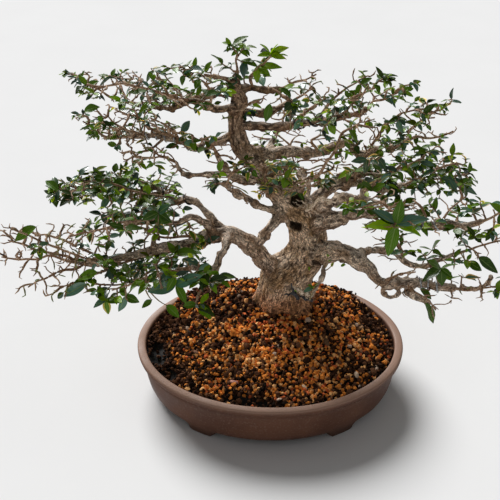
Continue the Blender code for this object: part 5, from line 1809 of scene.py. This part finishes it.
def make_stage(settings):
    """A pale floor, soft light from above and behind, a weak fill from the front, and the photo's camera.

    As in the photo, the floor's own soft light is stopped by the tray alone.
    """
    corners = flat_places(np.array((-1.0, 1.0, 1.0, -1.0)), np.array((-1.0, -1.0, 1.0, 1.0)))
    faces = np.array(((0, 1, 2), (0, 2, 3)))
    floor = mesh_object("floor", corners * FLOOR_HALF_SIZE, faces, floor_material())
    key = add_sun("soft_key", KEY_COMES_FROM, settings.key_strength, settings.key_softness)
    tree_and_pot = light_group("tree and pot", [floor], "EXCLUDE")
    floor_key = add_sun("floor_key", FLOOR_KEY_COMES_FROM, settings.floor_strength, settings.floor_softness)
    floor_key.light_linking.receiver_collection = light_group("floor alone", [floor])
    tray = [bpy.data.objects["clay_pot"], bpy.data.objects["packed_soil"]]
    floor_key.light_linking.blocker_collection = light_group("tray", tray)
    back = add_softbox("back_softbox", (-1.5, 6.0, 3.6), 6.0, settings.back_power)
    fill = add_softbox("front_fill", (-1.6, -3.0, 1.6), 1.8, settings.fill_power)
    for light in (key, back, fill):
        light.light_linking.receiver_collection = tree_and_pot
    world = bpy.data.worlds.new("studio")
    world.use_nodes = True
    around = world.node_tree.nodes["Background"]
    around.inputs["Color"].default_value = (1.0, 1.0, 1.0, 1.0)
    around.inputs["Strength"].default_value = settings.ambient
    bpy.context.scene.world = world
    bpy.context.scene.view_settings.view_transform = "Standard"
    add_camera()


# Settings, operators and panel

class PotSettings(bpy.types.PropertyGroup):
    """The oval clay tray."""

    half_width: FloatProperty(
        name="Half width", description="Half of the rim's length",
        default=POT_HALF_WIDTH * MM, min=0.05, unit="LENGTH")
    half_depth: FloatProperty(
        name="Half depth", description="Half of the rim's depth",
        default=POT_HALF_DEPTH * MM, min=0.05, unit="LENGTH")
    rim_height: FloatProperty(
        name="Rim height", description="Height of the lip over the floor",
        default=RIM_HEIGHT * MM, min=0.02, unit="LENGTH")
    steps: IntProperty(name="Steps", description="Points round the oval", default=240, min=48)


class SoilSettings(bpy.types.PropertyGroup):
    """The packed soil and the loose grains on it."""

    grain_size: FloatProperty(
        name="Grain size", description="Usual width of a grain",
        default=4.6 * MM, min=0.001, unit="LENGTH")
    top_layer: FloatProperty(
        name="Top layer", description="Share of the grains that have one more on top",
        default=0.38, min=0.0, max=1.0, subtype="FACTOR")
    seed: IntProperty(name="Seed", description="Which random draw places the grains", default=5, min=0)


class WoodSettings(bpy.types.PropertyGroup):
    """The skin of trunk and limbs."""

    voxel: FloatProperty(
        name="Voxel", description="Grid size that melts the limbs together",
        default=2.0 * MM, min=0.001, unit="LENGTH")
    smoothing: IntProperty(name="Smoothing", description="Passes that soften the joins", default=5, min=0)


class FoliageSettings(bpy.types.PropertyGroup):
    """Twigs and leaves."""

    seed: IntProperty(name="Seed", description="Which random draw grows the twigs", default=8, min=0)
    twig_gap: FloatProperty(
        name="Twig gap", description="Usual distance between twig tips",
        default=9.9 * MM, min=0.004, unit="LENGTH")
    fork_gap: FloatProperty(
        name="Fork gap", description="Distance between twigs along a stem",
        default=13.0 * MM, min=0.004, unit="LENGTH")
    leafiness: FloatProperty(
        name="Leafiness", description="How many of the twigs bear leaves",
        default=0.64, min=0.0, max=1.5)


class StudioSettings(bpy.types.PropertyGroup):
    """Light on the pale stage."""

    key_strength: FloatProperty(
        name="Key", description="Strength of the soft light from above and behind",
        default=3.70, min=0.0)
    key_softness: FloatProperty(
        name="Softness", description="How wide the key light looks",
        default=math.radians(30.0), min=0.0, subtype="ANGLE")
    floor_strength: FloatProperty(
        name="Floor key", description="Strength of the floor light",
        default=3.72, min=0.0)
    floor_softness: FloatProperty(
        name="Floor softness", description="How wide the floor's light looks",
        default=math.radians(38.0), min=0.0, subtype="ANGLE")
    back_power: FloatProperty(
        name="Back", description="Power of the large softbox behind",
        default=90.0, min=0.0, unit="POWER")
    fill_power: FloatProperty(
        name="Fill", description="Power of the front light",
        default=12.0, min=0.0, unit="POWER")
    ambient: FloatProperty(
        name="Ambient", description="Strength of the light from all round",
        default=0.210, min=0.0)


class BONSAI_OT_pot(bpy.types.Operator):
    """Make the clay tray"""

    bl_idname = "bonsai.make_pot"
    bl_label = "Clay pot"

    def execute(self, context):
        make_pot(context.scene.bonsai_pot)
        mesh = plastic_mesh_material()
        for name in ("drain_mesh_1", "drain_mesh_2"):
            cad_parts[name].data.materials.clear()
            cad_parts[name].data.materials.append(mesh)
        return {"FINISHED"}


class BONSAI_OT_soil(bpy.types.Operator):
    """Make the packed soil and its loose grains"""

    bl_idname = "bonsai.make_soil"
    bl_label = "Soil"

    def execute(self, context):
        for make in (make_packed_soil, make_granules, make_chips):
            make(context.scene.bonsai_soil)
        return {"FINISHED"}


class BONSAI_OT_wood(bpy.types.Operator):
    """Make the trunk, its limbs and the deadwood"""

    bl_idname = "bonsai.make_wood"
    bl_label = "Trunk and limbs"

    def execute(self, context):
        make_wood(context.scene.bonsai_wood)
        make_deadwood(context.scene.bonsai_foliage)
        return {"FINISHED"}


class BONSAI_OT_wire(bpy.types.Operator):
    """Coil the training wire round the limbs"""

    bl_idname = "bonsai.make_wire"
    bl_label = "Training wire"

    def execute(self, context):
        metals = {
            "dark": wire_material("dark wire", (0.05, 0.045, 0.045), 0.5, 0.6),
            "silver": wire_material("silver wire", (0.62, 0.62, 0.63), 0.35, 0.9),
        }
        lines = wood_lines()
        for name, (limb, start, end, coils, metal) in WIRES.items():
            make_wire(name, limb, start, end, coils, metals[metal], lines)
        return {"FINISHED"}


class BONSAI_OT_foliage(bpy.types.Operator):
    """Grow the twigs and the leaves of every spray"""

    bl_idname = "bonsai.make_foliage"
    bl_label = "Twigs and leaves"

    def execute(self, context):
        make_twigs(context.scene.bonsai_foliage)
        make_leaves(context.scene.bonsai_foliage)
        return {"FINISHED"}


class BONSAI_OT_studio(bpy.types.Operator):
    """Set the floor, the lights and the camera"""

    bl_idname = "bonsai.make_studio"
    bl_label = "Studio"

    def execute(self, context):
        make_stage(context.scene.bonsai_studio)
        return {"FINISHED"}


class BONSAI_PT_panel(bpy.types.Panel):
    """Lists the settings and the operators."""

    bl_label = "Bonsai"
    bl_idname = "BONSAI_PT_panel"
    bl_space_type = "VIEW_3D"
    bl_region_type = "UI"
    bl_category = "Bonsai"

    def draw(self, context):
        for operator in OPERATORS:
            box = self.layout.box()
            group = getattr(context.scene, operator.bl_idname.replace(".make", ""), None)
            if group:
                for name in group.bl_rna.properties.keys():
                    if name not in ("rna_type", "name"):
                        box.prop(group, name)
            box.operator(operator.bl_idname)


SETTINGS = {
    "bonsai_pot": PotSettings, "bonsai_soil": SoilSettings, "bonsai_wood": WoodSettings,
    "bonsai_foliage": FoliageSettings, "bonsai_studio": StudioSettings,
}
OPERATORS = (
    BONSAI_OT_pot, BONSAI_OT_soil, BONSAI_OT_wood, BONSAI_OT_wire, BONSAI_OT_foliage, BONSAI_OT_studio,
)


def register():
    for kind in (*SETTINGS.values(), *OPERATORS, BONSAI_PT_panel):
        bpy.utils.register_class(kind)
    for name, kind in SETTINGS.items():
        setattr(bpy.types.Scene, name, PointerProperty(type=kind))


def unregister():
    for name in SETTINGS:
        delattr(bpy.types.Scene, name)
    for kind in reversed((*SETTINGS.values(), *OPERATORS, BONSAI_PT_panel)):
        bpy.utils.unregister_class(kind)


def main():
    register()
    bpy.ops.bonsai.make_pot()
    bpy.ops.bonsai.make_soil()
    bpy.ops.bonsai.make_wood()
    bpy.ops.bonsai.make_wire()
    bpy.ops.bonsai.make_foliage()
    bpy.ops.bonsai.make_studio()


if __name__ == "__main__":
    main()
